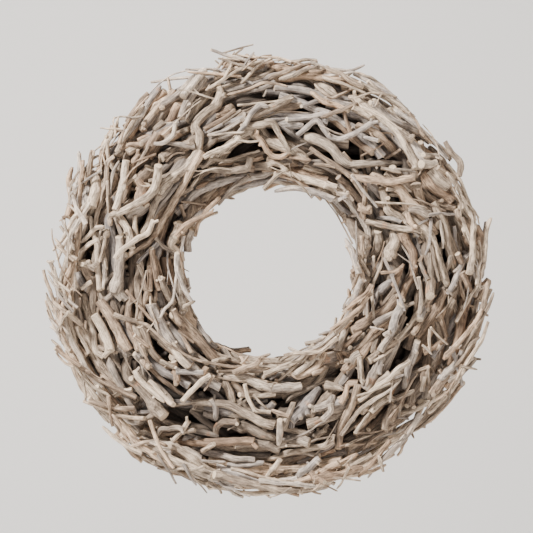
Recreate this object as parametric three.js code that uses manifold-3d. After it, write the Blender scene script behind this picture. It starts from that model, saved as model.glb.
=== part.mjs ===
// A root branch wreath: crooked, whitewashed root branches piled round a welded steel ring frame.
// Millimetres, +Z up. The wreath hangs on a wall whose face is the plane y = 0 and looks along -Y.
// The origin is where the nail bears in the hanging loop.
import * as THREE from 'three';
import { mergeVertices } from 'three/addons/utils/BufferGeometryUtils.js';
import Module from 'manifold-3d';

const wasm = await Module();
wasm.setup();
const { Manifold } = wasm;

// The roll of branches: an oval section carried round a ring.
const ringRadius = 169; // from the wreath's centre to the middle of the roll
const rollHalfWidth = 71;
const rollHalfDepth = 52;
const rollMiddleY = -56;
const ringCentreZ = -217; // below the nail
const rollRoundness = 2.2; // exponent of the section's outline

// The pressed bundle at the heart of each bunch.
const bunchCount = 12;
const coreHalfDepth = 28;
const coreHalfWidth = 46;
const coreMiddleY = -47.5;
const coreRidges = 6;
const coreCrest = 1.6; // how far its ridges stand past its mean outline
const coreValley = 6.5; // how far it drops between them
const coreRidgeRadius = 5;
const coreSink = 2.6; // how much deeper a root lies on a heart than on another root
const coreTwist = 0.55; // radians over a bunch's length
const coreTurn = 0.7; // radians from one bunch to the next

// The steel frame against the wall.
const rodRadius = 3;
const rodMiddleY = -6.6;
const innerHoopRadius = 150;
const outerHoopRadius = 194;
const hoopSides = 6;
const hoopSteps = 32;
const strapCount = 6;
const strapWidth = 16;
const strapThickness = 5;
const strapOverhang = 8; // past each hoop's middle

// The wire loop that the nail holds.
const wireRadius = 1.5;
const loopHalfWidth = 12;
const loopMiddleY = -6.6;

// How the pile is made.
const clearance = 0.3;
const pressedShare = 0.27; // of the thinner radius, where one root lies on another
const pressedDepth = 0.7; // on top of that
const firmDepth = 1.8; // by which two roots that hold each other are pressed together
const holeLine = 78; // how near the wreath's middle a bunch reaches, measured along its own middle
const wallGap = 1.5;
const sampleStep = 4;
const endShare = 0.7; // of its radius, from a root's cut end to its last ball
const startAway = 90;
const tilts = [-0.08, 0, 0.08];
const sagShare = 0.4; // how far a root gives way towards what lies below it
const mostSag = 8;
const surfaceFollow = 0.6; // a traced root's share of the roll's roundness
const straightShare = 0.2; // a ruled root's share of a straight line
const outline = { hole: 94, rim: 249, face: -111 };
const mostAttempts = 6; // at laying one ruled root
const thickSides = 5;
const thinSides = 4;
const thickFrom = 7.6; // mean radius from which a root has more sides

const colours = { bark: 0xb5a48f, pale: 0xcdbda7, steel: 0x3a3735, wire: 0x6f6b66 };

// Seeded draws, so that the same wreath is made each time.
let drawState = 5;
function draw(low, high) {
  drawState = (drawState * 1664525 + 1013904223) % 4294967296;
  return low + (high - low) * (drawState / 4294967296);
}

// A root as it is seen from the front: two diameters, then x and z of each bend from the wreath's centre.
function root(startDiameter, endDiameter, ...spots) {
  const limbs = [{ startDiameter, endDiameter, spots }];
  return {
    limbs,
    single: false,
    fork(start, end, ...forkSpots) {
      limbs.push({ startDiameter: start, endDiameter: end, spots: forkSpots });
      return this;
    },
    alone() {
      this.single = true;
      return this;
    },
  };
}

const topRoots = [
  root(9, 8, -182, 128, -172, 152, -163, 178, -149, 200).alone(),
  root(11, 8, -148, 168, -128, 190, -104, 208, -88, 228).alone(),
  root(11, 11, -118, 172, -106, 194),
  root(16, 16, -153, 100, -138, 119),
  root(11, 9, -57, 206, -63, 192, -81, 176, -87, 167, -82, 156, -84, 138, -97, 119, -110, 110,
    -122, 99, -128, 88).fork(5, 5, -122, 92, -111, 99).alone(),
  root(9, 6, -78, 137, -95, 108, -112, 80, -125, 58, -132, 44, -141, 33, -149, 29, -163, 19,
    -173, 10).alone(),
  root(11, 11, -72, 128, -82, 113, -93, 101),
  root(10, 10, -68, 216, -74, 203, -86, 188, -96, 172).alone(),
  root(13, 13, -48, 194, -30, 200, -12, 206),
  root(12, 7, -8, 208, 18, 205, 28, 196),
  root(12, 12, -18, 180, 5, 176, 40, 177, 58, 176, 68, 170).alone(),
  root(10, 7, -110, 68, -90, 88, -68, 101, -28, 110, -8, 112, 2, 118, 12, 116).alone(),
  root(8, 6, 5, 222, 40, 224, 75, 219, 100, 216, 115, 210, 135, 201).alone(),
  root(12, 9, 116, 194, 125, 186, 145, 172, 165, 165, 185, 152).alone(),
  root(9, 8, 95, 200, 110, 187, 128, 176, 140, 163, 150, 148, 158, 133, 166, 118).alone(),
  root(13, 7, 38, 155, 55, 150, 68, 143, 80, 130, 88, 125, 105, 124, 130, 124, 150, 126)
    .fork(6, 5, 86, 124, 100, 111).alone(),
  root(10, 10, 170, 122, 188, 124),
  root(10, 10, 62, 170, 80, 166),
  root(12, 12, 62, 210, 75, 205),
];

const rightRoots = [
  root(12, 12, 140, 99, 148, 91, 154, 84, 163, 75),
  root(10, 8, 163, 118, 166, 110, 173, 96, 181, 85, 187, 81, 199, 76, 212, 73).alone(),
  root(14, 14, 173, 115, 183, 104, 193, 93, 209, 82),
  root(14, 14, 183, 117, 193, 105, 203, 99),
  root(6, 5, 183, 59, 189, 37, 199, 24, 205, 17, 208, 5, 206, -7).alone(),
  root(12, 12, 198, 59, 204, 49, 212, 44),
  root(13, 13, 204, 47, 207, 33, 206, 19),
  root(9, 7, 79, 107, 88, 90, 97, 71, 108, 59, 113, 45, 113, 30, 109, 17, 107, 6).alone(),
  root(10, 8, 123, 48, 126, 38, 125, 26, 114, 18, 110, 13),
  root(12, 12, 141, 47, 143, 36, 137, 24, 136, 15).fork(6, 5, 139, 16, 147, 20),
  root(11, 8, 149, 48, 154, 36, 162, 23, 163, 6, 162, -5, 154, -17, 149, -30)
    .fork(5, 5, 158, 45, 163, 39, 169, 30, 172, 24).alone(),
  root(12, 12, 187, -3, 181, -17, 178, -28),
  root(10, 10, 139, -9, 128, -19, 119, -28),
  root(11, 13, 145, -30, 132, -43, 119, -51, 104, -61, 92, -68).alone(),
  root(8, 6, 185, -28, 175, -45, 167, -61, 157, -72, 148, -82, 140, -92, 132, -109).alone(),
  root(9, 8, 200, -22, 191, -41, 183, -53, 175, -64, 167, -75)
    .fork(7, 6, 193, -44, 198, -59, 205, -77).alone(),
  root(8, 9, 167, -79, 162, -95, 157, -113, 152, -134).alone(),
  root(12, 10, 223, -31, 220, -49, 217, -69, 212, -90, 207, -108).alone(),
  root(10, 10, 212, -44, 206, -58),
  root(13, 13, 132, -76, 116, -87, 107, -106).alone(),
  root(8, 10, 189, -102, 180, -111, 170, -126, 162, -141, 161, -152).alone(),
];

const bottomRoots = [
  root(7, 5, 101, -124, 81, -124, 60, -126, 50, -130, 40, -135, 24, -143, 18, -150).alone(),
  root(12, 12, 56, -133, 43, -149, 33, -161, 22, -171).alone(),
  root(9, 9, 99, -128, 94, -143, 87, -162, 80, -178, 77, -203).alone(),
  root(7, 9, 129, -143, 118, -155, 110, -172, 101, -182, 98, -189).alone(),
  root(8, 8, 56, -213, 44, -222, 33, -233, 17, -249).alone(),
  root(10, 10, -1, -134, 19, -132, 34, -131),
  root(9, 10, -63, -110, -54, -124, -47, -139, -44, -149),
  root(8, 11, -89, -150, -67, -150, -47, -152, -28, -162, -10, -171, 4, -175).alone(),
  root(14, 14, -55, -172, -40, -175, -26, -178, -11, -185, 5, -190),
  root(10, 9, -122, -204, -103, -205, -77, -207, -47, -211, -26, -212).alone(),
  root(12, 12, -139, -176, -120, -173, -100, -173, -82, -177, -65, -188).alone(),
  root(11, 11, -54, -119, -26, -123, -11, -129, 3, -133).alone(),
  root(10, 10, -68, -94, -57, -99, -47, -101, -26, -101),
];

const leftRoots = [
  root(8, 8, -249, -54, -243, -69, -234, -82, -226, -94).alone(),
  root(8, 6, -213, -142, -200, -157, -182, -169, -167, -180, -154, -188).alone(),
  root(13, 13, -177, -82, -166, -88, -161, -96),
  root(9, 7, -187, -99, -180, -113, -172, -130, -164, -147, -157, -163).alone(),
  root(10, 13, -163, -97, -167, -110, -164, -120, -151, -130, -141, -141, -131, -155, -122, -165)
    .fork(6, 6, -133, -160, -141, -169, -158, -180).alone(),
  root(10, 10, -155, -106, -141, -116, -131, -122, -110, -128),
  root(8, 10, -147, -66, -141, -81, -136, -95, -133, -111),
  root(16, 16, -153, -150, -136, -161),
  root(9, 8, -127, 120, -129, 108, -132, 96, -138, 88, -151, 79, -164, 71, -176, 67, -183, 64).alone(),
  root(10, 12, -173, 40, -173, 22, -174, 7, -177, -13, -180, -22)
    .fork(6, 6, -178, -17, -182, -27, -190, -33).fork(10, 9, -176, -20, -167, -29, -162, -33).alone(),
  root(12, 8, -153, 24, -152, 7, -155, -9, -157, -35, -159, -50, -164, -61)
    .fork(6, 5, -159, -52, -158, -61, -152, -60).alone(),
  root(11, 11, -107, 16, -105, -15, -103, -37, -101, -45),
  root(10, 10, -143, -17, -142, -30, -145, -43),
  root(6, 7, -217, 111, -218, 89, -218, 68, -220, 43, -224, 22, -228, 2, -232, -12, -242, -35,
    -246, -43).alone(),
  root(8, 8, -165, 127, -167, 104, -173, 83, -177, 70).alone(),
  root(14, 14, -143, 99, -147, 79),
  root(5, 7, -207, 63, -204, 46, -199, 32, -198, 7, -196, -21).alone(),
  root(14, 14, -211, 115, -210, 94, -210, 74),
  root(12, 12, -203, 115, -201, 89, -205, 74),
  root(12, 11, -196, -33, -184, -48, -178, -62, -169, -78, -162, -89).alone(),
  root(9, 7, -216, -25, -213, -40, -208, -54, -204, -69, -200, -92, -192, -97).alone(),
  root(12, 12, -166, -64, -157, -76, -146, -92, -138, -100).alone(),
  root(10, 10, -130, -25, -126, -40),
  root(10, 10, -121, -54, -115, -69, -105, -86, -97, -100).alone(),
  root(14, 14, -121, 16, -119, -15),
];

// Depth of the roll's face in front of its middle, at a distance from the wreath's centre.
function faceHeight(distance) {
  const across = Math.min(Math.abs(distance - ringRadius) / rollHalfWidth, 0.97);
  return rollHalfDepth * (1 - across ** rollRoundness) ** (1 / rollRoundness);
}

const between = (a, b, share) => a + (b - a) * share;

// The way that a limb runs at one of its bends.
function wayAt(points, k) {
  const before = points[Math.max(k - 1, 0)];
  const after = points[Math.min(k + 1, points.length - 1)];
  return after.clone().sub(before).normalize();
}

// Leaves out bends so near each other that the limb would cross itself.
function openBends({ points, radii }) {
  for (let k = 0; k + 1 < points.length;) {
    const step = points[k + 1].clone().sub(points[k]);
    const here = wayAt(points, k);
    const next = wayAt(points, k + 1);
    const room = 1.2 * Math.max(radii[k], radii[k + 1]) * Math.sin(here.angleTo(next)) + 1.5;
    if (points.length === 2 || Math.min(step.dot(here), step.dot(next)) > room) k += 1;
    else {
      const gone = k + 2 < points.length ? k + 1 : k;
      points.splice(gone, 1);
      radii.splice(gone, 1);
      k = Math.max(k - 1, 0);
    }
  }
  return { points, radii };
}

// The bends of a traced limb in space. They follow the roll's face in part, and else a straight line.
function tracedLimb({ startDiameter, endDiameter, spots }) {
  const count = spots.length / 2;
  const points = [];
  for (let k = 0; k < count; k++) {
    const x = spots[2 * k];
    const z = spots[2 * k + 1];
    points.push(new THREE.Vector3(x, rollMiddleY - faceHeight(Math.hypot(x, z)), z));
  }
  const first = points[0].y;
  const last = points[count - 1].y;
  points.forEach((point, k) => {
    point.y = between(between(first, last, k / (count - 1)), point.y, surfaceFollow);
  });
  const radii = points.map((_, k) => between(startDiameter, endDiameter, k / (count - 1)) / 2);
  return openBends({ points, radii });
}

// Where on the first limb a fork grows: the segment and how far along it.
function forkPlace(trunk, point) {
  let best = { distance: Infinity };
  for (let k = 0; k + 1 < trunk.points.length; k++) {
    const line = new THREE.Line3(trunk.points[k], trunk.points[k + 1]);
    const share = line.closestPointToPointParameter(point, true);
    const near = line.at(share, new THREE.Vector3());
    const distance = near.distanceTo(point);
    if (distance < best.distance) best = { distance, segment: k, share, near };
  }
  return best;
}

function tracedRoot({ limbs, single }) {
  const made = limbs.map(tracedLimb);
  for (const limb of made.slice(1)) {
    limb.place = forkPlace(made[0], limb.points[0]);
    const shift = new THREE.Vector3().subVectors(limb.place.near, limb.points[0]);
    limb.points.forEach((point) => point.add(shift));
  }
  return { limbs: made, single };
}

// A root made by rule, lying on the section's outline at an angle, about along the ring.
function ruledRoot({ ringAngle, sectionAngle, length, lean, startDiameter, endDiameter, forked }) {
  const bends = 4;
  const limb = { points: [], radii: [] };
  const at = (along, aside) => {
    const section = sectionAngle + aside / (0.5 * (rollHalfWidth + rollHalfDepth));
    const across = rollHalfWidth * Math.cos(section);
    const outward = rollHalfDepth * Math.sin(section);
    const angle = ringAngle + along / (ringRadius + across);
    const distance = ringRadius + across;
    return new THREE.Vector3(distance * Math.cos(angle), rollMiddleY - outward, distance * Math.sin(angle));
  };
  const middle = at(0, 0);
  const ahead = at(1, 0).sub(middle);
  for (let k = 0; k < bends; k++) {
    const along = length * (k / (bends - 1) - 0.5);
    const kink = draw(-1, 1) * length * 0.045;
    const rise = draw(-1, 1) * length * 0.03;
    const point = at(along * Math.cos(lean), along * Math.sin(lean) + kink);
    const straight = middle.clone().addScaledVector(ahead, along);
    point.lerp(straight, straightShare);
    limb.points.push(point.add(new THREE.Vector3(0, rise, 0)));
    limb.radii.push(between(startDiameter, endDiameter, k / (bends - 1)) / 2 * draw(0.92, 1.1));
  }
  const limbs = [openBends(limb)];
  if (forked && limb.points.length > 2) {
    const reach = length * draw(0.25, 0.4);
    const turn = lean + (draw(0, 1) < 0.5 ? -1 : 1) * draw(0.45, 0.8);
    const root = limb.points[1].clone().lerp(limb.points[2], draw(0.1, 0.9));
    const tip = root.clone().add(at(reach * Math.cos(turn), reach * Math.sin(turn)).sub(middle));
    const thick = endDiameter * 0.36;
    const fork = { points: [root, tip], radii: [thick, thick * 0.8] };
    fork.place = forkPlace(limb, root);
    limbs.push(fork);
  }
  return { limbs, single: false };
}

// Balls along a limb, which stand for it while the pile is laid. None stands out past its cut ends.
function ballsAlong(limb) {
  const balls = [];
  for (let k = 0; k + 1 < limb.points.length; k++) {
    const steps = Math.max(1, Math.ceil(limb.points[k].distanceTo(limb.points[k + 1]) / sampleStep));
    for (let step = k ? 1 : 0; step <= steps; step++) {
      const share = step / steps;
      const centre = limb.points[k].clone().lerp(limb.points[k + 1], share);
      balls.push({ centre, radius: between(limb.radii[k], limb.radii[k + 1], share), segment: k });
    }
  }
  const ends = [limb.points[0], limb.points[limb.points.length - 1]];
  const within = balls.filter(({ centre, radius }) => (
    ends.every((end) => centre.distanceTo(end) > endShare * radius)
  ));
  return within.length ? within : balls;
}

const pile = []; // every ball laid so far

// A point of a bunch's heart: a ridged oval that turns a little along the ring.
function corePoint(bunch, along, section, size) {
  const share = (2 * Math.PI) / bunchCount;
  const gap = clearance / 2 / (ringRadius - coreHalfWidth);
  const angle = bunch * share + gap + along * (share - 2 * gap);
  const turned = section + bunch * coreTurn + coreTwist * along;
  const flat = size > 0 ? coreHalfWidth - coreHalfDepth : 0;
  const across = size * Math.cos(turned) + flat * Math.max(-1, Math.min(1, 2 * Math.cos(turned)));
  const distance = ringRadius + across;
  const depth = coreMiddleY - size * Math.sin(turned);
  return new THREE.Vector3(distance * Math.cos(angle), depth, distance * Math.sin(angle));
}

function layCores() {
  const steps = 15;
  for (let bunch = 0; bunch < bunchCount; bunch++) {
    for (let ridge = 0; ridge < coreRidges; ridge++) {
      const section = (ridge / coreRidges) * 2 * Math.PI;
      for (let k = 0; k < steps; k++) {
        const size = coreHalfDepth + coreCrest - coreRidgeRadius - coreSink;
        const centre = corePoint(bunch, (k + 0.5) / steps, section, size);
        pile.push({ centre, radius: coreRidgeRadius, bunch });
      }
    }
  }
}

// How far a ball can move before it is pressed into what lies in its way.
function freeTravel(centre, radius, way, near) {
  let travel = Infinity;
  for (const ball of near) {
    const dx = ball.centre.x - centre.x;
    const dy = ball.centre.y - centre.y;
    const dz = ball.centre.z - centre.z;
    const pressed = pressedShare * Math.min(ball.radius, radius) + pressedDepth;
    const reach = ball.radius + radius - pressed;
    const along = dx * way.x + dy * way.y + dz * way.z;
    const missed = dx * dx + dy * dy + dz * dz - along * along;
    if (missed < reach * reach) travel = Math.min(travel, along - Math.sqrt(reach * reach - missed));
  }
  return travel;
}

function eachPoint(laid, change) {
  laid.limbs.forEach((limb) => limb.points.forEach((point, k) => change(point, k, limb)));
}

// Moves a root along a way until it lies on the pile, with the tilt that lets it lie lowest.
function press(laid, way, mostTravel) {
  const trunk = laid.limbs[0];
  const first = trunk.points[0];
  const last = trunk.points[trunk.points.length - 1];
  const middle = first.clone().add(last).multiplyScalar(0.5);
  const along = last.clone().sub(first).normalize();
  eachPoint(laid, (point) => point.addScaledVector(way, -startAway));
  middle.addScaledVector(way, -startAway);
  const balls = laid.limbs.flatMap((limb, index) => ballsAlong(limb).map((ball) => ({ ...ball, index })));
  const reach = Math.max(...balls.map((ball) => ball.centre.distanceTo(middle))) + coreHalfDepth + 12;
  const near = pile.filter(({ centre }) => {
    const away = centre.clone().sub(middle);
    const deep = away.dot(way);
    return away.lengthSq() - deep * deep < reach * reach;
  });
  let best = { travel: -Infinity };
  for (const tilt of tilts) {
    const stops = balls.map(({ centre, radius }) => {
      const lift = tilt * centre.clone().sub(middle).dot(along);
      return freeTravel(centre.clone().addScaledVector(way, lift), radius, way, near);
    });
    const travel = Math.min(...stops);
    if (travel > best.travel) best = { travel, tilt, stops };
  }
  if (!(best.travel < mostTravel)) {
    eachPoint(laid, (point) => point.addScaledVector(way, startAway));
    return false;
  }
  eachPoint(laid, (point) => {
    const lift = best.tilt * point.clone().sub(middle).dot(along);
    point.addScaledVector(way, lift + best.travel);
  });
  sag(laid, way, balls, best);
  return true;
}

// Lets each bend give way towards what lies below it.
function sag(laid, way, balls, { travel, stops }) {
  const spare = laid.limbs.map((limb) => limb.points.map(() => mostSag));
  balls.forEach(({ index, segment }, k) => {
    const free = Math.min(stops[k] - travel, mostSag);
    if (index === 0) {
      spare[0][segment] = Math.min(spare[0][segment], free);
      spare[0][segment + 1] = Math.min(spare[0][segment + 1], free);
    } else {
      const place = laid.limbs[index].place.segment;
      spare[0][place] = Math.min(spare[0][place], free);
      spare[0][place + 1] = Math.min(spare[0][place + 1], free);
    }
  });
  laid.limbs.forEach(({ points, place }) => {
    points.forEach((point, k) => {
      const give = place
        ? between(spare[0][place.segment], spare[0][place.segment + 1], place.share)
        : spare[0][k];
      point.addScaledVector(way, sagShare * give);
    });
  });
}

const laidRoots = [];

// How far a root's middle is, round the ring, from the middle of a bunch.
function farRound({ limbs }, bunch) {
  const { points } = limbs[0];
  const middle = points[0].clone().add(points[points.length - 1]);
  const away = Math.atan2(middle.z, middle.x) - ((bunch + 0.5) / bunchCount) * 2 * Math.PI;
  return Math.abs(Math.atan2(Math.sin(away), Math.cos(away)));
}

// A bunch stays on its own side of the hole.
function onItsSide(balls, bunch) {
  const angle = ((bunch + 0.5) / bunchCount) * 2 * Math.PI;
  return balls.every(({ centre, radius }) => (
    centre.x * Math.cos(angle) + centre.z * Math.sin(angle) - radius > holeLine
  ));
}

// Keeps a root that lies well. It joins the nearest bunch round the ring that it is pressed on.
function keep(laid) {
  eachPoint(laid, (point, k, limb) => {
    point.y = Math.min(point.y, -wallGap - 1.15 * limb.radii[k]);
  });
  const balls = laid.limbs.flatMap(ballsAlong);
  if (!laid.single) {
    const pressedOn = pile.filter(({ centre, radius }) => (
      balls.some((ball) => ball.centre.distanceTo(centre) < ball.radius + radius - firmDepth)
    ));
    const bunches = [...new Set(pressedOn.map(({ bunch }) => bunch))];
    const open = bunches.filter((bunch) => onItsSide(balls, bunch));
    if (!open.length) return false;
    [laid.bunch] = open.sort((a, b) => farRound(laid, a) - farRound(laid, b));
  }
  pile.push(...balls.map((ball) => ({ ...ball, bunch: laid.bunch })));
  laidRoots.push(laid);
  return true;
}

// A traced root is laid from the front, or from beside the roll where nothing lies behind it.
function layTraced(traced) {
  const laid = tracedRoot(traced);
  const inward = new THREE.Vector3(0, 1, 0);
  const trunk = laid.limbs[0];
  const middle = trunk.points[0].clone().add(trunk.points[trunk.points.length - 1]).multiplyScalar(0.5);
  const toMiddle = rollMiddleY - 8 - Math.max(...trunk.points.map((point) => point.y));
  if (!press(laid, inward, startAway + Math.max(toMiddle, 12))) {
    eachPoint(laid, (point) => {
      point.y += Math.max(toMiddle, 0);
    });
    const radial = new THREE.Vector3(middle.x, 0, middle.z).normalize();
    const outside = middle.x ** 2 + middle.z ** 2 > ringRadius ** 2;
    if (!press(laid, radial.multiplyScalar(outside ? -1 : 1), startAway + 40)) return;
  }
  keep(laid);
}

// A ruled root is laid square to the section's outline. It is no use where it would stick out past it.
function layRuled(values) {
  const laid = ruledRoot(values);
  const { ringAngle, sectionAngle } = values;
  const across = Math.cos(sectionAngle) / rollHalfWidth;
  const outward = Math.sin(sectionAngle) / rollHalfDepth;
  const way = new THREE.Vector3(-across * Math.cos(ringAngle), outward, -across * Math.sin(ringAngle));
  const lies = press(laid, way.normalize(), startAway + 60);
  const balls = laid.limbs.flatMap(ballsAlong);
  const inside = balls.every(({ centre, radius }) => {
    const distance = Math.hypot(centre.x, centre.z);
    const onRoll = distance - radius > outline.hole && distance + radius < outline.rim;
    return onRoll && centre.y - radius > outline.face;
  });
  return lies && inside && keep(laid);
}

const degrees = Math.PI / 180;
const goldenShare = 0.618; // spreads the rows' starting places

// Thick roots bound round the heart of the roll: section angle 0 faces out, 90 forward and 180 in.
const underRows = [
  { sectionAngle: -69, count: 7 },
  { sectionAngle: -106, count: 6 },
  { sectionAngle: -142, count: 4 },
  { sectionAngle: -38, count: 7 },
  { sectionAngle: -8, count: 8 },
  { sectionAngle: 22, count: 7 },
  { sectionAngle: 54, count: 5 },
  { sectionAngle: 92, count: 5 },
  { sectionAngle: 132, count: 4 },
  { sectionAngle: 170, count: 5 },
  { sectionAngle: 206, count: 4 },
];
const underThickness = [14, 18];
const underLength = [130, 165];

// Thinner roots over them, on the sides that the traced ones do not cover.
const overRows = [
  { sectionAngle: -30, count: 4 },
  { sectionAngle: 6, count: 5 },
  { sectionAngle: 186, count: 3 },
];
const overThickness = [8, 11];
const overLength = [95, 135];

function layRows(rows, thickness, lengths, mostLean, forkShare) {
  rows.forEach(({ sectionAngle, count }, row) => {
    const startAngle = (((row * goldenShare) % 1) * 360) / count;
    for (let k = 0; k < count; k++) {
      for (let attempt = 0, lies = false; attempt < mostAttempts && !lies; attempt++) {
        const diameter = draw(...thickness);
        lies = layRuled({
          ringAngle: (startAngle + ((k + draw(-0.2, 0.2)) * 360) / count) * degrees,
          sectionAngle: (sectionAngle + draw(-9, 9)) * degrees,
          length: draw(...lengths),
          lean: draw(-mostLean, mostLean) * degrees,
          startDiameter: diameter,
          endDiameter: diameter * draw(0.68, 0.9),
          forked: draw(0, 1) < forkShare,
        });
      }
    }
  });
}

layCores();
layRows(underRows, underThickness, underLength, 16, 0);
layRows(overRows, overThickness, overLength, 26, 0.25);
const traced = [...topRoots, ...rightRoots, ...bottomRoots, ...leftRoots];
traced.filter(({ single }) => !single).forEach(layTraced);
traced.filter(({ single }) => single).forEach(layTraced);

// Joins the vertices of a three.js shape and makes it a solid.
function solidOf(geometry) {
  geometry.deleteAttribute('normal');
  geometry.deleteAttribute('uv');
  const merged = mergeVertices(geometry, 1e-4);
  const vertProperties = Float32Array.from(merged.attributes.position.array);
  const triVerts = Uint32Array.from(merged.index.array);
  return new Manifold(new wasm.Mesh({ numProp: 3, vertProperties, triVerts }));
}

// A limb is a cylinder with a ring of vertices at each bend.
function limbSolid({ points, radii }, swell = 0) {
  const steps = points.length - 1;
  const sides = (radii[0] + radii[steps]) / 2 < thickFrom ? thinSides : thickSides;
  const corner = (2 * Math.PI) / sides;
  const roundness = Math.sqrt(corner / Math.sin(corner)); // gives the section a round root's area
  const frames = [];
  let side = new THREE.Vector3(0.3, 1, 0.2);
  for (let k = 0; k <= steps; k++) {
    const way = wayAt(points, k);
    side = side.clone().addScaledVector(way, -side.dot(way)).normalize();
    const centre = points[k].clone();
    if (k === 0) centre.addScaledVector(way, -swell);
    if (k === steps) centre.addScaledVector(way, swell);
    frames.push({ centre, side, other: new THREE.Vector3().crossVectors(way, side) });
  }
  const geometry = new THREE.CylinderGeometry(1, 1, 1, sides, steps);
  const position = geometry.attributes.position;
  for (let index = 0; index < position.count; index++) {
    const k = Math.round((0.5 - position.getY(index)) * steps);
    const { centre, side: across, other } = frames[k];
    const radius = radii[k] * roundness + swell / Math.cos(corner / 2);
    const vertex = centre.clone()
      .addScaledVector(across, position.getX(index) * radius)
      .addScaledVector(other, position.getZ(index) * radius);
    position.setXYZ(index, vertex.x, vertex.y, vertex.z);
  }
  return solidOf(geometry);
}

const rootSolid = (laid, swell) => Manifold.union(laid.limbs.map((limb) => limbSolid(limb, swell)));

// The ridged heart of a bunch: a twelfth of a ring.
function coreSolid(bunch) {
  const steps = 3;
  const geometry = new THREE.CylinderGeometry(1, 1, 1, coreRidges * 2, steps);
  const position = geometry.attributes.position;
  for (let index = 0; index < position.count; index++) {
    const x = position.getX(index);
    const z = position.getZ(index);
    const section = Math.atan2(z, x);
    const corner = Math.round((section / Math.PI) * coreRidges);
    const size = Math.hypot(x, z) < 0.5 ? 0 : coreHalfDepth + (corner % 2 ? -coreValley : coreCrest);
    const point = corePoint(bunch, 0.5 + position.getY(index), section, size);
    position.setXYZ(index, point.x, point.y, point.z);
  }
  return solidOf(geometry);
}

function hoopSolid(radius, swell) {
  const hoop = new THREE.TorusGeometry(radius, rodRadius + swell, hoopSides, hoopSteps);
  hoop.rotateX(Math.PI / 2);
  hoop.translate(0, rodMiddleY, 0);
  return solidOf(hoop);
}

function strapSolid(angle, swell) {
  const length = outerHoopRadius - innerHoopRadius + 2 * strapOverhang;
  const strap = new THREE.BoxGeometry(length + 2 * swell, strapThickness + swell, strapWidth + 2 * swell);
  strap.translate((innerHoopRadius + outerHoopRadius) / 2, -(strapThickness + swell) / 2, 0);
  strap.rotateY(-angle);
  return solidOf(strap);
}

function frameSolid(swell = 0) {
  const pieces = [hoopSolid(innerHoopRadius, swell), hoopSolid(outerHoopRadius, swell)];
  for (let k = 0; k < strapCount; k++) {
    pieces.push(strapSolid((k / strapCount) * 2 * Math.PI, swell));
  }
  return Manifold.union(pieces);
}

// The hanging loop: a bent wire whose ends are wound once round the outer hoop.
function loopSolid(swell = 0) {
  const apex = -ringCentreZ + wireRadius;
  const coilRadius = rodRadius * 1.06 + clearance + wireRadius;
  const hoopStep = (2 * Math.PI) / hoopSteps;
  const lean = hoopStep / 2;
  const hoopTop = outerHoopRadius - loopHalfWidth * Math.tan(lean);
  const shoulder = hoopTop + coilRadius;
  const spots = [
    [-loopHalfWidth, shoulder - 1],
    [-loopHalfWidth + 1, shoulder + 7],
    [-loopHalfWidth * 0.62, apex - 4],
    [-loopHalfWidth * 0.26, apex - 0.8],
    [0, apex],
    [loopHalfWidth * 0.26, apex - 0.8],
    [loopHalfWidth * 0.62, apex - 4],
    [loopHalfWidth - 1, shoulder + 7],
    [loopHalfWidth, shoulder - 1],
  ];
  const points = spots.map(([x, z]) => new THREE.Vector3(x, loopMiddleY, z));
  const wire = limbSolid({ points, radii: points.map(() => wireRadius) }, swell);
  const coils = [-1, 1].map((side) => {
    const coil = new THREE.TorusGeometry(coilRadius, wireRadius + swell, 5, 9);
    coil.rotateY(Math.PI / 2);
    coil.rotateY(side * lean);
    coil.translate(side * loopHalfWidth, rodMiddleY, hoopTop);
    return solidOf(coil);
  });
  return Manifold.union([wire, ...coils]);
}

function boxesMeet(a, b) {
  return [0, 1, 2].every((axis) => a.min[axis] < b.max[axis] && b.min[axis] < a.max[axis]);
}

// Only the biggest closed body stays, without sealed hollows.
function biggest(solid) {
  const parts = solid.decompose().filter((part) => part.volume() > 0);
  return parts.reduce((best, part) => (part.volume() > best.volume() ? part : best));
}

const twoDigits = (number) => String(number).padStart(2, '0');
const bunchName = (bunch) => `root_bunch_${twoDigits(bunch + 1)}`;

// Gives each root its solid and the name of its node.
function nameRoots(roots) {
  let singles = 0;
  for (const laid of roots) {
    laid.solid = rootSolid(laid);
    if (laid.single) singles += 1;
    laid.node = laid.single ? `root_branch_${twoDigits(singles)}` : bunchName(laid.bunch);
  }
}

// Gives each root room for the roots laid on it later that belong to another node.
function carveRoots(roots) {
  for (const laid of roots) {
    laid.swollen = rootSolid(laid, clearance);
    laid.room = laid.swollen.boundingBox();
  }
  roots.forEach((laid, k) => {
    const later = roots.slice(k + 1);
    const over = later.filter(({ node, room }) => node !== laid.node && boxesMeet(laid.room, room));
    laid.carved = laid.solid.subtract(Manifold.union(over.map(({ swollen }) => swollen)));
  });
}

function geometryOf(solid) {
  const { numProp, vertProperties, triVerts } = solid.getMesh();
  const positions = new Float32Array(triVerts.length * 3);
  triVerts.forEach((vertex, k) => {
    for (let axis = 0; axis < 3; axis++) positions[3 * k + axis] = vertProperties[numProp * vertex + axis];
  });
  const geometry = new THREE.BufferGeometry();
  geometry.setAttribute('position', new THREE.BufferAttribute(positions, 3));
  geometry.computeVertexNormals();
  return geometry;
}

const wreath = new THREE.Group();
const materials = {
  bark: new THREE.MeshStandardMaterial({ color: colours.bark, roughness: 0.9, metalness: 0 }),
  pale: new THREE.MeshStandardMaterial({ color: colours.pale, roughness: 0.9, metalness: 0 }),
  steel: new THREE.MeshStandardMaterial({ color: colours.steel, roughness: 0.55, metalness: 0.9 }),
  wire: new THREE.MeshStandardMaterial({ color: colours.wire, roughness: 0.4, metalness: 1 }),
};

function addNode(name, solid, material) {
  const mesh = new THREE.Mesh(geometryOf(solid), material);
  mesh.name = name;
  mesh.position.z = ringCentreZ;
  wreath.add(mesh);
}

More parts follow.
